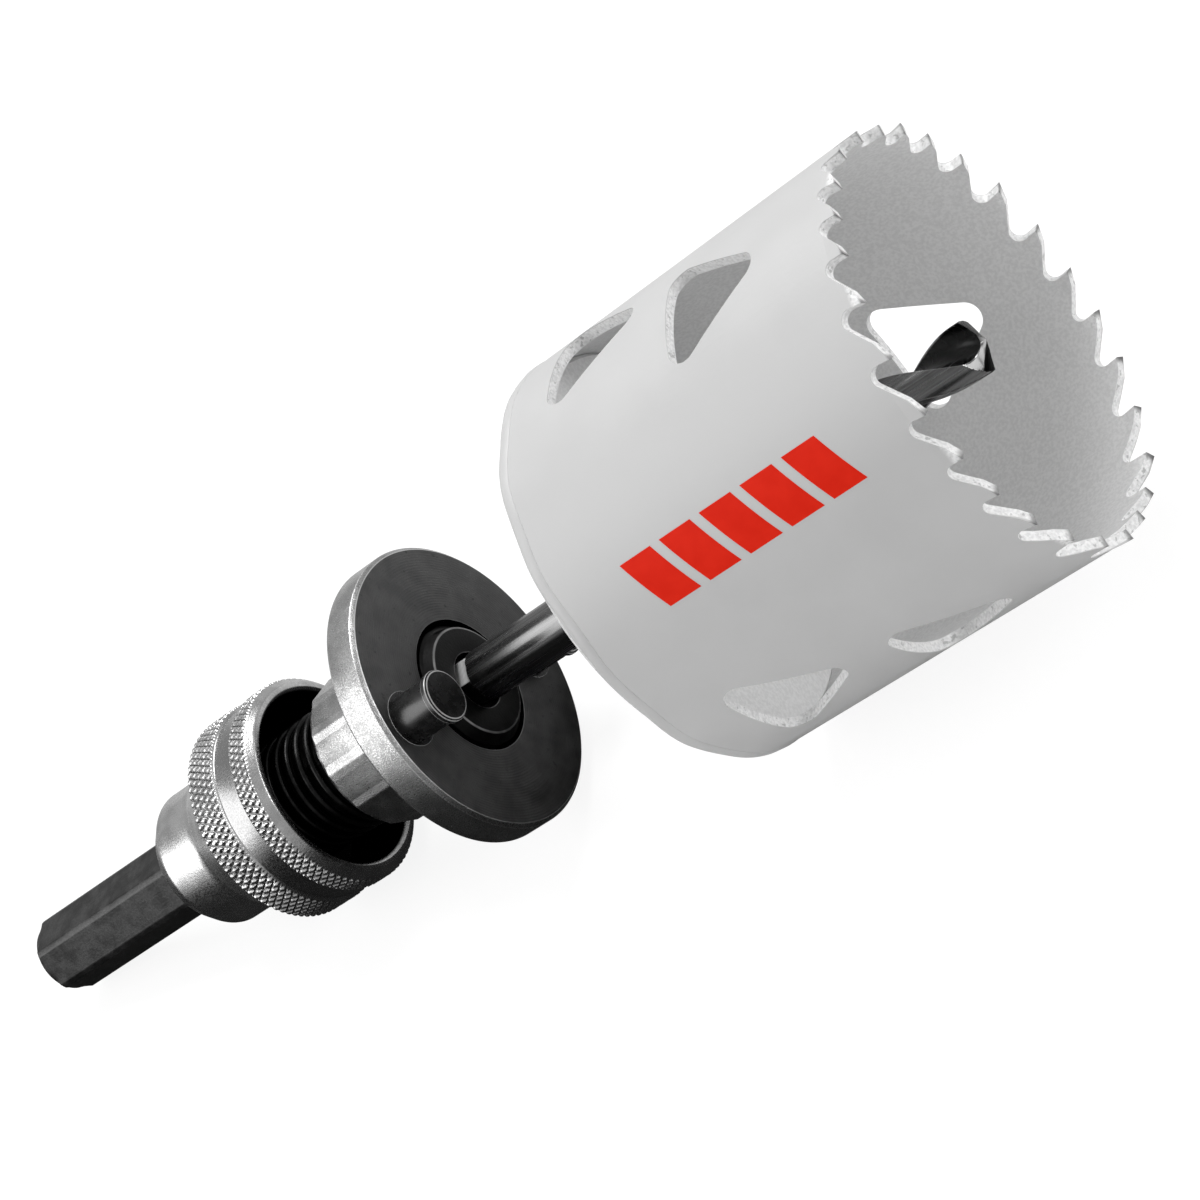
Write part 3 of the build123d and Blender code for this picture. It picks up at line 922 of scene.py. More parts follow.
@dataclass(frozen=True)
class DrillSteel(Finish):
    """Ground dark steel, streaked along the shank, black in the flutes; on the hexagonal tail the upward
    flat is painted bright with grinding marks and the other flats black, as painted light and shade.
    """

    name: str = "drill_steel"
    cloud_scale: float = 0.6
    grain_scale: float = 5.0
    streak_round: float = 14.0
    streak_along: float = 0.04
    ground: float = 0.22
    ground_shares: Span = (0.85, 1.15)
    flute: float = 0.03
    land: Span = (0.0, 3.0)
    land_softness: float = 0.08
    flute_start: Span = (36.0, 40.0)
    root: Span = (2.25, 2.45)
    # Painted light: the hexagonal tail's upward flat is painted bright with grinding marks; the other flats
    # take the flutes' black as painted shade.
    flat: Span = (DRILL_TURN + 60.0, DRILL_TURN + 120.0)
    flat_softness: float = 0.04
    hatch_per_mm: float = 5.0
    hatch_share: float = 0.8
    painted_lit_flat: float = 0.95
    hatch: float = 0.45
    worn_and_glint: float = 0.5
    worn_and_glint_share: float = 0.8
    flat_metallic: float = 0.3
    rough: Span = (0.22, 0.28)
    root_rough: float = 0.5
    relief: Span = (0.05, 0.01)

    def shade(self, g: Graph, shader: Sockets, at: Sockets) -> None:
        """Joins the drill's nodes to the shader.

        Args:
            g: The material's graph.
            shader: The shader's inputs.
            at: Where a point lies on the tool.
        """
        streak = g.group(EFFECTS.streaks, Station=at["Station"], Angle=at["Angle"],
                         Round=self.streak_round, Along=self.streak_along)[0]
        mottle = self.mottle(g, at)
        outer = self.varied(g, streak, self.ground, self.ground_shares)
        within = self.banded(g, at["Radius"], self.land, self.land_softness)
        fluted = g.math("MULTIPLY", within, g.ramp(at["Station"], *self.flute_start))
        rooted = g.math("SUBTRACT", 1.0, g.ramp(at["Station"], *self.root))
        marks = g.group(EFFECTS.turning, Coordinate=at["Station"], Per_mm=self.hatch_per_mm)[0]
        sides = (math.radians(self.flat[0]), math.radians(self.flat[1]))
        # Painted light: bright on the flat that faces up, black on the others.
        flat = self.banded(g, at["Angle"], sides, self.flat_softness)
        hatch_on_lit_flat = g.blend(g.math("MULTIPLY", marks, self.hatch_share), grey(self.painted_lit_flat), grey(self.hatch))
        painted_lit_flat = g.blend(flat, grey(self.flute), hatch_on_lit_flat)
        base = g.blend(rooted, g.blend(fluted, outer, grey(self.flute)), painted_lit_flat)
        # Painted highlight on the lip and heel corners and painted reflection on the gash facets, through
        # the mesh's wear_and_glint share.
        g.feed(shader["Base Color"], self.laid(g, self.wear_and_glint(g), self.worn_and_glint_share, base, self.worn_and_glint))
        g.feed(shader["Metallic"], g.between(g.math("MULTIPLY", rooted, flat), 1.0, self.flat_metallic))
        g.feed(shader["Roughness"], g.between(rooted, g.between(streak, *self.rough), self.root_rough))
        g.feed(shader["Normal"], g.bump(g.math("ADD", streak, mottle["Grain"]), self.relief))


@dataclass(frozen=True)
class WireSteel(Finish):
    """Spring wire, painted near black as painted shade inside the collar's bore."""

    name: str = "wire_steel"
    cloud_scale: float = 0.8
    grain_scale: float = 6.0
    # Painted shade: the wire is darkened to near black for the shade inside the collar.
    level: float = 0.02
    shares: Span = (0.7, 1.4)
    rough: Span = (0.25, 0.38)

    def shade(self, g: Graph, shader: Sockets, at: Sockets) -> None:
        """Joins the wire's nodes to the shader.

        Args:
            g: The material's graph.
            shader: The shader's inputs.
            at: Where a point lies on the tool.
        """
        mottle = self.mottle(g, at)
        g.feed(shader["Base Color"], self.varied(g, mottle["Clouds"], self.level, self.shares))
        shader["Metallic"].default_value = 1.0
        g.feed(shader["Roughness"], g.between(mottle["Grain"], *self.rough))


@dataclass(frozen=True)
class OxideSteel(Finish):
    """Black oxide with brighter rounded edges, part edge wear and part painted highlight, for the pins, the
    screw and the snap ring.
    """

    name: str = "oxide_steel"
    cloud_scale: float = 0.9
    grain_scale: float = 5.0
    level: float = 0.008
    shares: Span = (0.7, 1.6)
    worn_and_glint: float = 0.42
    metallic: float = 0.2
    specular: float = 1.0
    rough: Span = (0.24, 0.30)
    relief: Span = (0.08, 0.01)

    def shade(self, g: Graph, shader: Sockets, at: Sockets) -> None:
        """Joins the oxide's nodes to the shader.

        Args:
            g: The material's graph.
            shader: The shader's inputs.
            at: Where a point lies on the tool.
        """
        mottle = self.mottle(g, at)
        base = self.varied(g, mottle["Clouds"], self.level, self.shares)
        # Rounded edges are painted brighter: part edge wear, part painted highlight.
        g.feed(shader["Base Color"], g.blend(self.wear_and_glint(g), base, grey(self.worn_and_glint)))
        shader["Metallic"].default_value = self.metallic
        shader["Specular IOR Level"].default_value = self.specular
        g.feed(shader["Roughness"], g.between(mottle["Clouds"], *self.rough))
        g.feed(shader["Normal"], g.bump(mottle["Grain"], self.relief))


def dress(piece: bpy.types.Object, material: bpy.types.Material) -> None:
    """Gives a piece one material."""
    piece.data.materials.clear()
    piece.data.materials.append(material)


@dataclass
class Collar:
    """The knurled collar: grip, flare and tail outside, spring housing inside."""

    mouth: float = -24.35
    mouth_chamfer: float = 0.45
    lip: float = 12.7
    lip_length: float = 1.2
    band: float = 13.75
    chamfer: float = 0.35
    front_end: float = -28.35
    smooth: float = 13.25
    rear_start: float = -31.35
    rear_end: float = -36.15
    flare: float = 12.9
    tail_start: float = -41.45
    tail: float = 9.2
    tail_end: float = -47.75
    end: float = -49.9
    end_radius: float = 7.65
    recess: float = 6.5
    recess_depth: float = 2.6
    bore: float = 11.58
    floor: float = -35.0
    shank_flats: float = 9.625
    fine_edge: float = 0.1
    lip_edge: float = 0.12
    edge: float = 0.15
    end_edge: float = 0.2
    soft_edge: float = 0.3
    waist: float = 0.9
    grooves: int = 84
    knurl_slope: float = 30.0
    knurl_depth: float = 0.27
    knurl_flank: float = 0.55
    row_step: float = 0.135
    steps: int = 840

    def outline(self) -> Outline:
        """Draws the collar's closed outline, fine along the knurled bands.

        Returns:
            The outline.
        """
        hole = self.shank_flats / 2
        lip_rear = self.mouth - self.lip_length
        corners = [
            (self.floor, hole),
            (self.floor, self.bore, self.soft_edge),
            (self.mouth - self.mouth_chamfer, self.bore, self.fine_edge),
            (self.mouth, self.bore + self.mouth_chamfer, self.lip_edge),
            (self.mouth, self.lip, self.edge),
            (lip_rear, self.band, self.lip_edge),
            (self.front_end + self.chamfer, self.band, self.fine_edge),
            (self.front_end, self.smooth, self.fine_edge),
            (self.rear_start, self.smooth, self.fine_edge),
            (self.rear_start - self.chamfer, self.band, self.fine_edge),
            (self.rear_end + self.chamfer, self.band, self.fine_edge),
            (self.rear_end, self.flare, self.edge),
            (self.tail_start, self.tail, self.waist),
            (self.tail_end, self.tail, self.soft_edge),
            (self.end, self.end_radius, self.end_edge),
            (self.end, self.recess, self.edge),
            (self.end + self.recess_depth, self.recess),
            (self.end + self.recess_depth, hole),
        ]
        outline = refined(rounded(corners), lip_rear, self.mouth, self.row_step, self.lip)
        outline = refined(outline, self.front_end, lip_rear, self.row_step, self.smooth)
        return refined(outline, self.rear_end, self.rear_start, self.row_step, self.flare)

    def knurl(self, station: float, angles: np.ndarray) -> np.ndarray:
        """Works out the height of the diamonds.

        Args:
            station: Where the row lies along the axis.
            angles: Angles round the axis in degrees.

        Returns:
            0 in the grooves and 1 on the diamonds' tops, at each angle.
        """
        across = station * math.tan(math.radians(self.knurl_slope)) / self.band
        heights = []
        for sign in (1, -1):
            turn = (np.radians(angles) + sign * across) * self.grooves / FULL_TURN
            heights.append(1.0 - np.abs(2.0 * (turn % 1.0) - 1.0))
        return np.clip(np.minimum(heights[0], heights[1]) / self.knurl_flank, 0.0, 1.0)

    def form(self, station: float, radius: float, angles: np.ndarray) -> np.ndarray:
        """Shapes a row: round, apart from the knurled bands and the hexagonal hole.

        Args:
            station: Where the row lies along the axis.
            radius: The outline's radius there.
            angles: Angles round the axis in degrees.

        Returns:
            The radius at each angle.
        """
        if radius <= self.shank_flats / 2 + TINY:
            return polygon_radius(angles, HEXAGON, self.shank_flats, self.shank_flats)
        if radius < self.smooth:
            return round_form(station, radius, angles)
        return np.minimum(radius, self.band - self.knurl_depth * (1.0 - self.knurl(station, angles)))

    def build(self) -> list[bpy.types.Object]:
        """Builds the collar, with the depth of its grooves kept on its points.

        Returns:
            The collar.
        """
        outline = self.outline()
        piece = spun("collar_knurled", outline, self.steps, self.form, ring=True)
        angles = np.arange(self.steps) * 360.0 / self.steps
        rows = []
        for station, radius, _ in outline:
            cut = radius - self.form(station, radius, angles) if radius > self.smooth else 0.0 * angles
            rows.append(cut / self.knurl_depth)
        depth = np.concatenate(rows).astype(np.float32)
        piece.data.attributes.new("groove", "FLOAT", "POINT").data.foreach_set("value", depth)
        dress(piece, CollarZinc().material())
        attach(piece, Body.ARBOR.value)
        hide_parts("knurled_collar")
        return [piece]


@dataclass
class Arbor:
    """Threaded nose, hexagonal stem and hexagonal shank, in one piece."""

    front: float = 1.15
    nose: float = 7.94
    chamfer: float = 1.05
    nose_rear: float = -10.9
    undercut: float = 7.1
    undercut_length: float = 1.8
    pitch: float = 1.411
    thread_depth: float = 0.72
    thread_flank: float = 0.8
    thread_rows: int = 14
    recess: float = 3.6
    recess_depth: float = 1.5
    socket_flats: float = 5.7
    socket_corner: float = 4.0
    socket_end: float = -19.5
    stem_flats: float = 11.1
    stem_corner: float = 6.3
    stem_rear: float = 6.2
    shoulder: float = -35.0
    step: float = 0.02
    shank_flats: float = 9.525
    shank_corner: float = 5.29
    shank_end: float = -78.65
    end_chamfer: float = 0.7
    end_blend: float = 0.4
    end_row_step: float = 0.08
    end_above: float = 4.0
    groove_front: float = -47.3
    groove_rear: float = -48.15
    groove: float = 4.4
    fine_edge: float = 0.1
    edge: float = 0.15
    nose_edge: float = 0.2
    steps: int = 240

    def form(self, station: float, radius: float, angles: np.ndarray) -> np.ndarray:
        """Shapes a row: round on the nose, hexagonal behind it and in the drill's socket.

        Args:
            station: Where the row lies along the axis.
            radius: The outline's radius there.
            angles: Angles round the axis in degrees.

        Returns:
            The radius at each angle.
        """
        if radius < self.socket_flats / 2 + self.step / 2 and station > self.socket_end - self.fine_edge:
            return polygon_radius(angles, HEXAGON, self.socket_flats, self.socket_corner, DRILL_TURN)
        if station > self.nose_rear - TINY:
            return self.threaded(station, radius, angles)
        if station > self.shoulder - TINY:
            return np.minimum(polygon_radius(angles, HEXAGON, self.stem_flats, self.stem_corner), radius)
        return np.minimum(polygon_radius(angles, HEXAGON, self.shank_flats, self.shank_corner), radius)

    def threaded(self, station: float, radius: float, angles: np.ndarray) -> np.ndarray:
        """Cuts a row of the nose wherever it stands out of the thread.

        Args:
            station: Where the row lies along the axis.
            radius: The outline's radius there.
            angles: Angles round the axis in degrees.

        Returns:
            The radius at each angle.
        """
        turn = (station / self.pitch - angles / 360.0) % 1.0
        crest = np.clip((1.0 - np.abs(2.0 * turn - 1.0)) / self.thread_flank, 0.0, 1.0)
        return np.minimum(radius, self.nose - self.thread_depth * (1.0 - crest))

    def outline(self) -> Outline:
        """Draws the outline from the bottom of the drill's socket round to the shank's end.

        Returns:
            The outline.
        """
        socket = self.socket_flats / 2
        rise = self.nose - self.undercut
        relief = self.nose_rear + self.undercut_length
        corners = [
            (self.socket_end, 0.0),
            (self.socket_end, socket),
            (self.front - self.recess_depth, socket),
            (self.front - self.recess_depth, self.recess),
            (self.front, self.recess, self.edge),
            (self.front, self.nose - self.chamfer, self.nose_edge),
            (self.front - self.chamfer, self.nose),
            (relief + rise, self.nose),
            (relief, self.undercut, self.fine_edge),
            (self.nose_rear + rise, self.undercut, self.fine_edge),
            (self.nose_rear + rise, self.nose),
            (self.nose_rear, self.nose, self.fine_edge),
            (self.nose_rear, self.stem_corner),
            (self.nose_rear - self.step, self.stem_corner),
            (self.shoulder + self.step, self.stem_corner),
            (self.shoulder, self.stem_rear),
            (self.shoulder - self.step, self.shank_corner),
            (self.groove_front, self.shank_corner),
            (self.groove_front, self.groove),
            (self.groove_rear, self.groove),
            (self.groove_rear, self.shank_corner),
            (self.shank_end + self.end_chamfer + self.end_blend, self.shank_corner),
            (self.shank_end + self.end_chamfer, self.shank_corner),
            (self.shank_end, self.shank_corner - self.end_chamfer, self.edge),
            (self.shank_end, 0.0),
        ]
        outline = refined(rounded(corners), relief, self.front, self.pitch / self.thread_rows, self.undercut)
        chamfered = self.shank_end + self.end_chamfer
        return refined(outline, self.shank_end, chamfered, self.end_row_step, self.end_above)

    def build(self) -> list[bpy.types.Object]:
        """Builds the arbor.

        Returns:
            The arbor.
        """
        piece = spun("arbor_threaded", self.outline(), self.steps, self.form)
        dress(piece, ArborSteel().material())
        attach(piece, Body.ARBOR.value)
        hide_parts("arbor_body")
        return [piece]


@dataclass
class DrivePlate:
    """The drive plate with its twelve-sided hub."""

    radius: float = 18.45
    thickness: float = 4.87
    front_chamfer: float = 0.45
    rear_chamfer: float = 0.5
    bore: float = 8.53
    bore_depth: float = 11.0
    bore_wall: float = 0.3
    hub: float = 9.98
    hub_sides: int = 12
    hub_edge: float = 80.4
    hub_rear: float = -17.97
    hub_chamfer: float = 0.6
    stem_flats: float = 11.3
    stem_corner: float = 7.0
    step: float = 0.02
    fine_edge: float = 0.1
    bore_edge: float = 0.12
    edge: float = 0.15
    steps: int = 360

    def form(self, station: float, radius: float, angles: np.ndarray) -> np.ndarray:
        """Shapes a row: round, apart from the hub's facets and the broached hole.

        Args:
            station: Where the row lies along the axis.
            radius: The outline's radius there.
            angles: Angles round the axis in degrees.

        Returns:
            The radius at each angle.
        """
        near = self.step / 2
        if radius < self.stem_flats / 2 + near:
            return polygon_radius(angles, HEXAGON, self.stem_flats, self.stem_corner)
        on_plate = radius > self.hub + near or station > near - self.thickness
        if on_plate or radius < self.bore + self.bore_wall:
            return round_form(station, radius, angles)
        half = 180.0 / self.hub_sides
        from_edge = (angles - self.hub_edge) % (2 * half) - half
        facets = self.hub * math.cos(math.radians(half)) / np.cos(np.radians(from_edge))
        return np.minimum(facets, radius)

    def outline(self) -> Outline:
        """Draws the plate's closed outline.

        Returns:
            The outline.
        """
        inner = self.stem_flats / 2
        corners = [
            (-self.bore_depth, inner),
            (-self.bore_depth, self.bore),
            (0.0, self.bore, self.bore_edge),
            (0.0, self.radius - self.front_chamfer, self.fine_edge),
            (-self.front_chamfer, self.radius, self.fine_edge),
            (self.rear_chamfer - self.thickness, self.radius, self.edge),
            (-self.thickness, self.radius - self.rear_chamfer, self.fine_edge),
            (-self.thickness, self.hub),
            (-self.thickness - self.step, self.hub),
            (self.hub_rear + self.hub_chamfer, self.hub),
            (self.hub_rear, self.hub - self.hub_chamfer, self.fine_edge),
            (self.hub_rear, inner),
        ]
        return rounded(corners)

    def build(self) -> list[bpy.types.Object]:
        """Builds the plate.

        Returns:
            The plate.
        """
        piece = spun("plate_and_hub", self.outline(), self.steps, self.form, ring=True)
        dress(piece, PlateSteel().material())
        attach(piece, Body.DRIVE.value)
        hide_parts("drive_plate")
        return [piece]


@dataclass
class DrivePins:
    """The two pins pressed into the drive plate."""

    circle: float = 13.5
    angles: Span = (140.0, 320.0)
    shank: float = 2.95
    head: float = 3.25
    head_length: float = 0.9
    head_chamfer: float = 0.25
    projection: float = 6.1
    plate: float = 4.87
    seat: float = 3.5
    seat_rise: float = 0.09
    seat_inner: float = 3.07
    seat_floor: float = 0.03
    seat_edge: float = 0.06
    fine_edge: float = 0.1
    edge: float = 0.12
    dull_from: float = 5.9
    dull_specular: float = 0.187
    steps: int = 96

    def outline(self) -> Outline:
        """Draws a pin's outline about its own axis, with the ring that pressing it in raised at its foot.

        Returns:
            The outline.
        """
        under_head = self.projection - self.head_length
        corners = [
            (-self.plate, 0.0),
            (-self.plate, self.shank, self.fine_edge),
            (-self.seat_rise, self.shank),
            (-self.seat_rise, self.seat),
            (self.seat_rise, self.seat, self.seat_edge),
            (self.seat_floor, self.seat_inner),
            (self.seat_floor, self.shank),
            (under_head, self.shank, self.fine_edge),
            (under_head, self.head, self.edge),
            (self.projection - self.head_chamfer, self.head, self.fine_edge),
            (self.projection, self.head - self.head_chamfer, self.edge),
            (self.projection, 0.0),
        ]
        return rounded(corners)

    def dull(self, pin: bpy.types.Object, material: bpy.types.Material) -> None:
        """Gives the front end of a pin's head a duller finish than its sides have.

        Args:
            pin: The pin in its place, with the finish of its sides.
            material: The duller finish.
        """
        pin.data.materials.append(material)
        to_tool = AXIS.matrix().inverted()
        for face in pin.data.polygons:
            face.material_index = int((to_tool @ face.center).x > self.dull_from)

    def build(self) -> list[bpy.types.Object]:
        """Builds both pins.

        Returns:
            The pins.
        """
        sides = OxideSteel().material()
        ends = OxideSteel(name="pin_end_steel", specular=self.dull_specular).material()
        pins = []
        for number, angle in enumerate(self.angles, start=1):
            pin = spun(f"pin_turned_{number}", self.outline(), self.steps)
            shift = AXIS.point(0.0, self.circle, angle) - AXIS.origin
            pin.data.transform(Matrix.Translation(shift))
            dress(pin, sides)
            self.dull(pin, ends)
            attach(pin, Body.DRIVE.value)
            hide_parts(f"drive_pin_{number}")
            pins.append(pin)
        return pins


@dataclass
class Spring:
    """The coil spring between the collar's floor and the hub."""

    radius: float = 7.6
    wire: float = 0.5
    turns: float = 8.5
    start: float = -34.45
    end: float = -18.52
    steps_per_turn: int = 48
    sides: int = 12
    crease: float = 60.0

    def build(self) -> list[bpy.types.Object]:
        """Builds the wire as a tube along the helix.

        Returns:
            The spring.
        """
        count = round(self.turns * self.steps_per_turn)
        verts, rows, faces = [], [], []
        rise = (self.end - self.start) / (FULL_TURN * self.turns * self.radius)
        for step in range(count + 1):
            turn = FULL_TURN * step / self.steps_per_turn
            outward = Vector((0.0, math.cos(turn), math.sin(turn)))
            along = Vector((rise, -math.sin(turn), math.cos(turn))).normalized()
            beside = along.cross(outward)
            centre = outward * self.radius
            centre.x = self.start + (self.end - self.start) * step / count
            rows.append(list(range(len(verts), len(verts) + self.sides)))
            for side in range(self.sides):
                roll = FULL_TURN * side / self.sides
                verts.append(centre + self.wire * (outward * math.cos(roll) + beside * math.sin(roll)))
        for low, high in zip(rows, rows[1:]):
            faces.extend(stitched(low, high))
        faces.extend((tuple(rows[0]), tuple(rows[-1])))
        piece = sharpened(object_of("spring_coil", np.array(verts), faces), self.crease)
        dress(piece, WireSteel().material())
        tuple(AXIS.point(self.start))
        tuple(AXIS.point(self.end))
        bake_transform(piece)
        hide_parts("main_spring")
        return [piece]


@dataclass
class Drill:
    """The twist drill: hexagonal tail, ground shank, two flutes, and a point with two facets to a land."""

    radius: float = 3.175
    tail: float = -19.5
    flats: float = 5.6
    flats_end: float = 1.9
    runout: float = 0.7
    runout_step: float = 0.05
    tip: float = 79.0
    flute_length: float = 41.8
    flute: float = 2.83
    web: float = 1.1
    lead: float = 43.0
    flute_runout: float = 6.0
    flute_skin: float = 0.02
    margin: float = 13.0
    margin_rise: float = 0.015
    lip_gap: float = 0.02
    heel_gap: float = 0.03
    clearance: float = 0.09
    point_half: float = 67.5
    point_angle: float = 127.0
    facet_width: float = 44.0
    land_width: float = 78.0
    facet_fall: float = 0.10
    heel_fall: float = 1.25
    # Shares that paint a reflection on the gash facets and brighten the tip, part wear and part painted
    # highlight.
    gash_highlight: float = 0.35
    tip_wear_and_glint: float = 0.3
    arc_parts: int = 28
    land_parts: int = 16
    row_step: float = 0.4
    point_rows: int = 22
    steps: int = 192
    crease: float = 20.0

    def corner(self, reach: float, centre: float) -> Span:
        """Finds where a flute's round bottom meets a land of some radius.

        Args:
            reach: Radius of the land.
            centre: Distance from the axis to the middle of the flute's round bottom.

        Returns:
            The angle about the drill's axis and the angle about the flute's middle, in radians.
        """
        cosine = (reach**2 + centre**2 - self.flute**2) / (2 * reach * centre)
        half = math.acos(max(-1.0, min(1.0, cosine)))
        return half, math.atan2(reach * math.sin(half), reach * math.cos(half) - centre)

    def slope(self, behind: float) -> float:
        """Works out how fast the point falls away from the axis.

        Args:
            behind: Angle behind the cutting lip, in radians.

        Returns:
            The fall for each millimetre of radius.
        """
        facet, land = math.radians(self.facet_width), math.radians(self.land_width)
        near = self.facet_fall * min(1.0, behind / facet)
        far = (self.heel_fall - self.facet_fall) * max(0.0, min(1.0, (behind - facet) / (land - facet)))
        return 1.0 / math.tan(math.radians(self.point_half)) + (near + far) / self.radius

    def section(self, centre: float, drop: float) -> tuple[list[Span], list[float]]:
        """Draws one fluted cross-section.

        Args:
            centre: Distance from the axis to the middle of a flute's round bottom.
            drop: Distance behind the tip.

        Returns:
            Its outline in order, and at each point the share of painted highlight on the lip and heel
            corners and of painted reflection on the gash facets.
        """
        inner = self.radius - self.clearance
        heel_slope = self.slope(math.radians(self.land_width))
        half_lip, edge_lip = self.corner(min(self.radius, drop / self.slope(0.0)), centre)
        half_heel, edge_heel = self.corner(min(inner, drop / heel_slope), centre)
        low, high = half_heel, math.pi - half_lip
        margin = min(math.radians(self.margin), (high - low) / 3)
        back = high - margin
        stops = [low + self.heel_gap]
        stops += [low + (back - low) * part / self.land_parts for part in range(1, self.land_parts + 1)]
        stops += [back + self.margin_rise, high - margin / 2, high - self.lip_gap]
        sweep = FULL_TURN - edge_lip - edge_heel
        outline, wear_and_glint = [], []
        for side in (0.0, math.pi):
            for part in range(self.arc_parts + 1):
                roll = -edge_lip - sweep * part / self.arc_parts
                spot = Vector((centre + self.flute * math.cos(roll), self.flute * math.sin(roll)))
                outline.append(self.turned(spot, side))
                # The flute's two ends, at the cutting lip and the heel, are marked for a painted highlight.
                wear_and_glint.append(1.0 if part in (0, self.arc_parts) else 0.0)
            for place, angle in enumerate(stops):
                limit = inner if place <= self.land_parts else self.radius
                behind = high - angle
                ground = drop / self.slope(behind)
                reach = min(limit, ground)
                outline.append(self.turned(Vector((reach * math.cos(angle), reach * math.sin(angle))), side))
                # Points on the gash facets get a share that paints a reflection on them.
                gashed = ground < limit and behind > math.radians(self.facet_width)
                wear_and_glint.append(self.gash_highlight if gashed else 0.0)
        return outline, wear_and_glint

    @staticmethod
    def turned(spot: Vector, turn: float) -> Span:
        """A point of the section, turned about the axis."""
        cosine, sine = math.cos(turn), math.sin(turn)
        return (spot.x * cosine - spot.y * sine, spot.x * sine + spot.y * cosine)

    def stations(self) -> list[float]:
        """Places the rows of the fluted front, closer together along the point.

        Returns:
            Their stations in order.
        """
        start = self.tip - self.flute_length
        heel_slope = self.slope(math.radians(self.land_width))
        shoulder = self.tip - self.radius * heel_slope
        last = self.tip - (self.web / 2 + self.flute_skin) * heel_slope
        rows = round((shoulder - start) / self.row_step)
        body = [start + (shoulder - start) * row / rows for row in range(rows)]
        point = [shoulder + (last - shoulder) * row / self.point_rows for row in range(self.point_rows + 1)]
        return body + point

    def fluted(self) -> bpy.types.Object:
        """Builds the twisted front with its ground point.

        Returns:
            The front.
        """
        stations = self.stations()
        deep = self.web / 2 + self.flute
        shallow = self.radius - self.web / 2 - self.flute_skin
        verts, wear_and_glint, rows, faces = [], [], [], []
        for station in stations:
            out = max(0.0, 1.0 - (station - stations[0]) / self.flute_runout) ** 2
            section, worn_and_glint = self.section(deep + shallow * out, self.tip - station)
            twist = math.radians(self.point_angle - 360.0 * (self.tip - station) / self.lead)
            rows.append(list(range(len(verts), len(verts) + len(section))))
            verts.extend((station, *self.turned(Vector(spot), twist)) for spot in section)
            wear_and_glint.extend(worn_and_glint)
        for low, high in zip(rows, rows[1:]):
            faces.extend(stitched(low, high))
        faces.append(tuple(rows[0]))
        faces.extend(stitched(rows[-1], [len(verts)]))
        verts.append((self.tip, 0.0, 0.0))
        wear_and_glint.append(self.tip_wear_and_glint)
        return sharpened(object_of("drill_fluted", np.array(verts), faces, np.array(wear_and_glint)), self.crease)

    def form(self, station: float, radius: float, angles: np.ndarray) -> np.ndarray:
        """Shapes a row: hexagonal on the tail and round in front of it.

        Args:
            station: Where the row lies along the axis.
            radius: The outline's radius there.
            angles: Angles round the axis in degrees.

        Returns:
            The radius at each angle.
        """
        if station > self.flats_end + self.runout - TINY:
            return round_form(station, radius, angles)
        share = max(0.0, (station - self.flats_end) / self.runout)
        flats = self.flats + share * (2 * self.radius - self.flats)
        return np.minimum(polygon_radius(angles, HEXAGON, flats, self.radius, DRILL_TURN), radius)

    def build(self) -> list[bpy.types.Object]:
        """Builds the shank and the fluted front.

        Returns:
            Both pieces.
        """
        start = self.tip - self.flute_length
        shank_rear = self.flats_end + self.runout
        corners = [
            (self.tail, 0.0), (self.tail, self.radius),
            (self.flats_end, self.radius), (shank_rear, self.radius),
            (start, self.radius), (start, 0.0),
        ]
        outline = refined(rounded(corners), self.flats_end, shank_rear, self.runout_step)
        pieces = [spun("drill_shank", outline, self.steps, self.form), self.fluted()]
        material = DrillSteel().material()
        for piece in pieces:
            dress(piece, material)
            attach(piece, Body.ARBOR.value)
            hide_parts("pilot_drill")
        return pieces


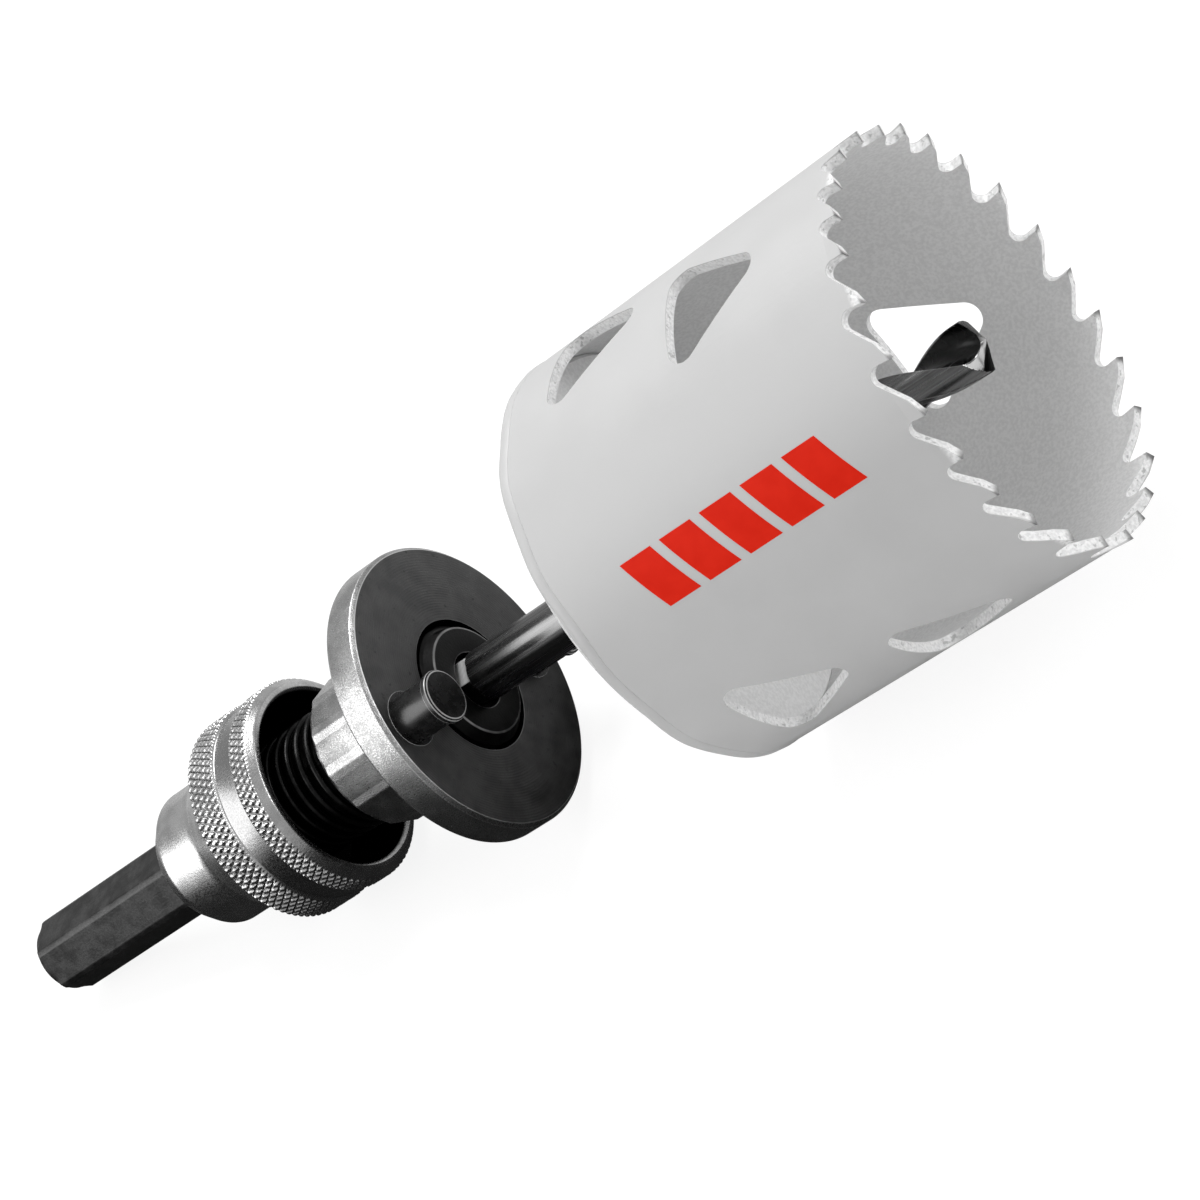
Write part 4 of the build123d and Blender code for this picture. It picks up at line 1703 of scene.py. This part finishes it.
@dataclass
class Saw:
    """The saw: its enamelled tube and back plate, the bead that joins them, and the print."""

    nodes: tuple[str, ...] = ("saw_tube", "saw_back_plate")
    radius: float = 25.3
    seam: float = 32.8
    bead_height: float = 0.12
    bead_half: float = 0.7
    bead_steps: int = 720
    bead_profile: tuple[Span, ...] = (
        (-1.0, -0.25), (-0.8, 0.25), (-0.4, 0.85), (0.0, 1.0), (0.4, 0.85), (0.8, 0.25), (1.0, -0.25),
    )
    bead_swell: float = 0.9
    bead_waves: tuple[tuple[int, float, float], ...] = (
        (3, 0.4, 0.3), (7, 1.9, 0.25), (17, 0.7, 0.2), (41, 2.2, 0.15),
    )
    bead_sway: tuple[tuple[int, float, float], ...] = ((5, 1.1, 0.22), (13, 0.0, 0.15))
    print_start: float = 43.3
    print_end: float = 70.5
    print_angle: float = 146.0
    print_height: float = 6.4
    bars: int = 5
    bar_gap: float = 1.3
    bar_slant: float = 0.35
    bar_parts: int = 12
    film: float = 0.02

    @staticmethod
    def waved(angles: np.ndarray, waves: tuple[tuple[int, float, float], ...]) -> np.ndarray:
        """Sums waves of (cycles, phase, size) round the axis."""
        return sum(np.sin(angles * cycles + phase) * size for cycles, phase, size in waves)

    def bead(self) -> bpy.types.Object:
        """Builds the uneven seam between the back plate and the tube.

        Returns:
            The bead.
        """
        angles = np.radians(np.arange(self.bead_steps) * 360.0 / self.bead_steps)
        lift = self.bead_height * (1.0 + self.bead_swell * self.waved(angles, self.bead_waves))
        sway = self.waved(angles, self.bead_sway)
        verts, rows, faces = [], [], []
        for k, angle in enumerate(angles):
            rows.append(list(range(len(verts), len(verts) + len(self.bead_profile))))
            for along, up in self.bead_profile:
                radius = self.radius + lift[k] * up
                station = self.seam + sway[k] + along * self.bead_half
                verts.append((station, radius * math.cos(angle), radius * math.sin(angle)))
        for low, high in zip(rows, rows[1:] + rows[:1]):
            faces.extend(stitched(low, high))
        return object_of("seam_bead", np.array(verts), faces)

    def bar(self, number: int) -> bpy.types.Object:
        """Builds one slanted bar of the print, a thin film on the tube.

        Args:
            number: The bar's place in the row, from 0.

        Returns:
            The bar.
        """
        length = (self.print_end - self.print_start - self.bar_gap * (self.bars - 1)) / self.bars
        start = self.print_start + number * (length + self.bar_gap)
        verts, faces = [], []
        for level in (0.0, self.film):
            radius = self.radius + level
            for i in range(self.bar_parts + 1):
                across = (i / self.bar_parts - 0.5) * self.print_height
                angle = math.radians(self.print_angle) + across / self.radius
                for reach in (0.0, length):
                    station = start + reach + across * self.bar_slant
                    verts.append((station, radius * math.cos(angle), radius * math.sin(angle)))
        row = 2 * (self.bar_parts + 1)
        for i in range(self.bar_parts):
            a, b = 2 * i, 2 * i + 2
            faces.append((a, a + 1, b + 1, b))
            faces.append((row + a, row + b, row + b + 1, row + a + 1))
            faces.append((a, b, row + b, row + a))
            faces.append((a + 1, row + a + 1, row + b + 1, b + 1))
        last = 2 * self.bar_parts
        faces.append((0, row, row + 1, 1))
        faces.append((last, last + 1, row + last + 1, row + last))
        return sharpened(object_of(f"print_bar_{number + 1}", np.array(verts), faces))

    def build(self) -> list[bpy.types.Object]:
        """Dresses the tube and the back plate and adds the bead and the print.

        Returns:
            The bead and the bars.
        """
        enamel = SawEnamel().material()
        for node in self.nodes:
            dress(frame["nodes"][node], enamel)
        bead = self.bead()
        dress(bead, enamel)
        red = Print().material()
        bars = [self.bar(number) for number in range(self.bars)]
        for bar in bars:
            dress(bar, red)
        for piece in (bead, *bars):
            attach(piece, Body.SAW.value)
        return [bead, *bars]


@dataclass
class SmallSteel:
    """The set screw and the snap ring, which keep their own shapes."""

    nodes: tuple[str, ...] = ("drill_set_screw", "retaining_ring")
    level: float = 0.05

    def build(self) -> list[bpy.types.Object]:
        """Dresses the small pieces.

        Returns:
            The pieces.
        """
        material = OxideSteel(name="small_steel", level=self.level).material()
        pieces = [frame["nodes"][node] for node in self.nodes]
        for piece in pieces:
            dress(piece, material)
        return pieces


@dataclass(frozen=True)
class Lamp:
    """A soft square lamp that faces the tool, placed in metres."""

    name: str
    toward: tuple[float, float, float]
    distance: float
    power: float
    size: float = 0.5
    aim: tuple[float, float, float] = (0.0, 0.0, 0.03)

    def build(self) -> None:
        """Adds the lamp to the scene."""
        data = bpy.data.lights.new(self.name, "AREA")
        data.shape, data.size, data.energy = "SQUARE", self.size, self.power
        lamp = bpy.data.objects.new(self.name, data)
        direction = Vector(self.toward).normalized()
        lamp.location = Vector(self.aim) + direction * self.distance
        lamp.rotation_mode = "QUATERNION"
        lamp.rotation_quaternion = direction.to_track_quat("Z", "Y")
        bpy.context.scene.collection.objects.link(lamp)


@dataclass
class Studio:
    """The floor, the lamps and the camera."""

    place: tuple[float, float, float] = (213.93, -235.40, 181.25)
    back: tuple[float, float, float] = (0.5436, -0.6647, 0.5125)
    up: tuple[float, float, float] = (0.4664, 0.7468, 0.4740)
    lens: float = 93.5
    film_width: float = 36.0
    clip: Span = (0.01, 10.0)
    floor_size: float = 6.0
    floor_colour: float = 0.9
    floor_rough: float = 0.9
    floor_specular: float = 0.1
    floor_glow: float = 1.1
    floor_share: float = 0.8
    floor_in_gloss: float = 0.02
    floor_beyond: float = 0.65
    beyond: Span = (0.01, 0.05)
    surround: float = 0.42
    surround_in_gloss: float = 0.40
    lamps: tuple[Lamp, ...] = (
        Lamp("softbox", (-0.65, -0.39, 0.53), 0.6, 1.9),
        Lamp("top", (-0.10, 0.50, 0.86), 0.9, 6.4),
        Lamp("front", (0.90, 0.05, 0.42), 0.8, 2.8),
    )

    def camera(self) -> None:
        """Places the camera at the photograph's viewing angle, from its place and axes on the tool."""
        data = bpy.data.cameras.new("camera")
        data.lens, data.sensor_width = self.lens, self.film_width
        data.clip_start, data.clip_end = self.clip
        camera = bpy.data.objects.new("camera", data)
        turn = AXIS.matrix().to_3x3().normalized()
        back = (turn @ Vector(self.back)).normalized()
        right = (turn @ Vector(self.up)).cross(back).normalized()
        axes = Matrix((right, back.cross(right), back)).transposed()
        camera.matrix_world = Matrix.Translation(AXIS.matrix() @ Vector(self.place)) @ axes.to_4x4()
        bpy.context.scene.collection.objects.link(camera)
        bpy.context.scene.camera = camera

    def floor_material(self) -> bpy.types.Material:
        """Mixes a pale floor that the camera sees as white and gloss sees as a studio's dark floor.

        Returns:
            The material.
        """
        material = bpy.data.materials.new("pale_floor")
        material.use_nodes = True
        g = Graph(material.node_tree)
        shader = material.node_tree.nodes["Principled BSDF"]
        shader.inputs["Base Color"].default_value = grey(self.floor_colour)
        shader.inputs["Roughness"].default_value = self.floor_rough
        shader.inputs["Specular IOR Level"].default_value = self.floor_specular
        path = g.node("ShaderNodeLightPath").outputs
        glow = g.node("ShaderNodeEmission")
        glow.inputs["Strength"].default_value = self.floor_glow
        glow.inputs["Color"].default_value = grey(1.0)
        pale = g.node("ShaderNodeMixShader")
        g.feed(pale.inputs[0], g.math("MULTIPLY", path["Is Camera Ray"], self.floor_share))
        g.feed(pale.inputs[1], shader.outputs[0])
        g.feed(pale.inputs[2], glow.outputs[0])
        spot = g.node("ShaderNodeSeparateXYZ")
        g.feed(spot.inputs[0], g.node("ShaderNodeTexCoord").outputs["Object"])
        far = g.ramp(spot.outputs[1], *self.beyond)
        shade = g.node("ShaderNodeEmission")
        g.feed(shade.inputs["Color"], g.blend(far, grey(self.floor_in_gloss), grey(self.floor_beyond)))
        mixed = g.node("ShaderNodeMixShader")
        g.feed(mixed.inputs[0], path["Is Glossy Ray"])
        g.feed(mixed.inputs[1], pale.outputs[0])
        g.feed(mixed.inputs[2], shade.outputs[0])
        g.feed(material.node_tree.nodes["Material Output"].inputs["Surface"], mixed.outputs[0])
        return material

    def floor(self) -> None:
        """Lays a plain pale floor."""
        mesh = bpy.data.meshes.new("floor")
        half = self.floor_size / 2
        corners = [(-half, -half, 0), (half, -half, 0), (half, half, 0), (-half, half, 0)]
        mesh.from_pydata(corners, [], [(0, 1, 2, 3)])
        floor = bpy.data.objects.new("floor", mesh)
        bpy.context.scene.collection.objects.link(floor)
        dress(floor, self.floor_material())

    def world(self) -> None:
        """Sets a white surround for the camera, and a softer one for light and gloss."""
        world = bpy.data.worlds.new("surround")
        bpy.context.scene.world = world
        world.use_nodes = True
        g = Graph(world.node_tree)
        background = world.node_tree.nodes["Background"]
        path = g.node("ShaderNodeLightPath").outputs
        camera = g.math("MULTIPLY", path["Is Camera Ray"], 1.0 - self.surround)
        gloss = g.math("MULTIPLY", path["Is Glossy Ray"], self.surround_in_gloss - self.surround)
        g.feed(background.inputs["Strength"], g.math("ADD", g.math("ADD", camera, gloss), self.surround))
        background.inputs["Color"].default_value = grey(1.0)

    def build(self) -> None:
        """Sets up the whole studio."""
        bpy.context.scene.view_settings.view_transform = "Standard"
        self.camera()
        self.floor()
        self.world()
        for lamp in self.lamps:
            lamp.build()


def main() -> None:
    """Builds the sub-assemblies in order and reports each piece."""
    logging.basicConfig(level=logging.INFO, format="%(name)s: %(message)s")
    for part in (Saw(), Drill(), Arbor(), DrivePlate(), DrivePins(), Spring(), Collar(), SmallSteel()):
        for piece in part.build():
            LOG.info("%s: %s, %d faces", type(part).__name__, piece.name, len(piece.data.polygons))
    Studio().build()


if __name__ == "__main__":
    main()
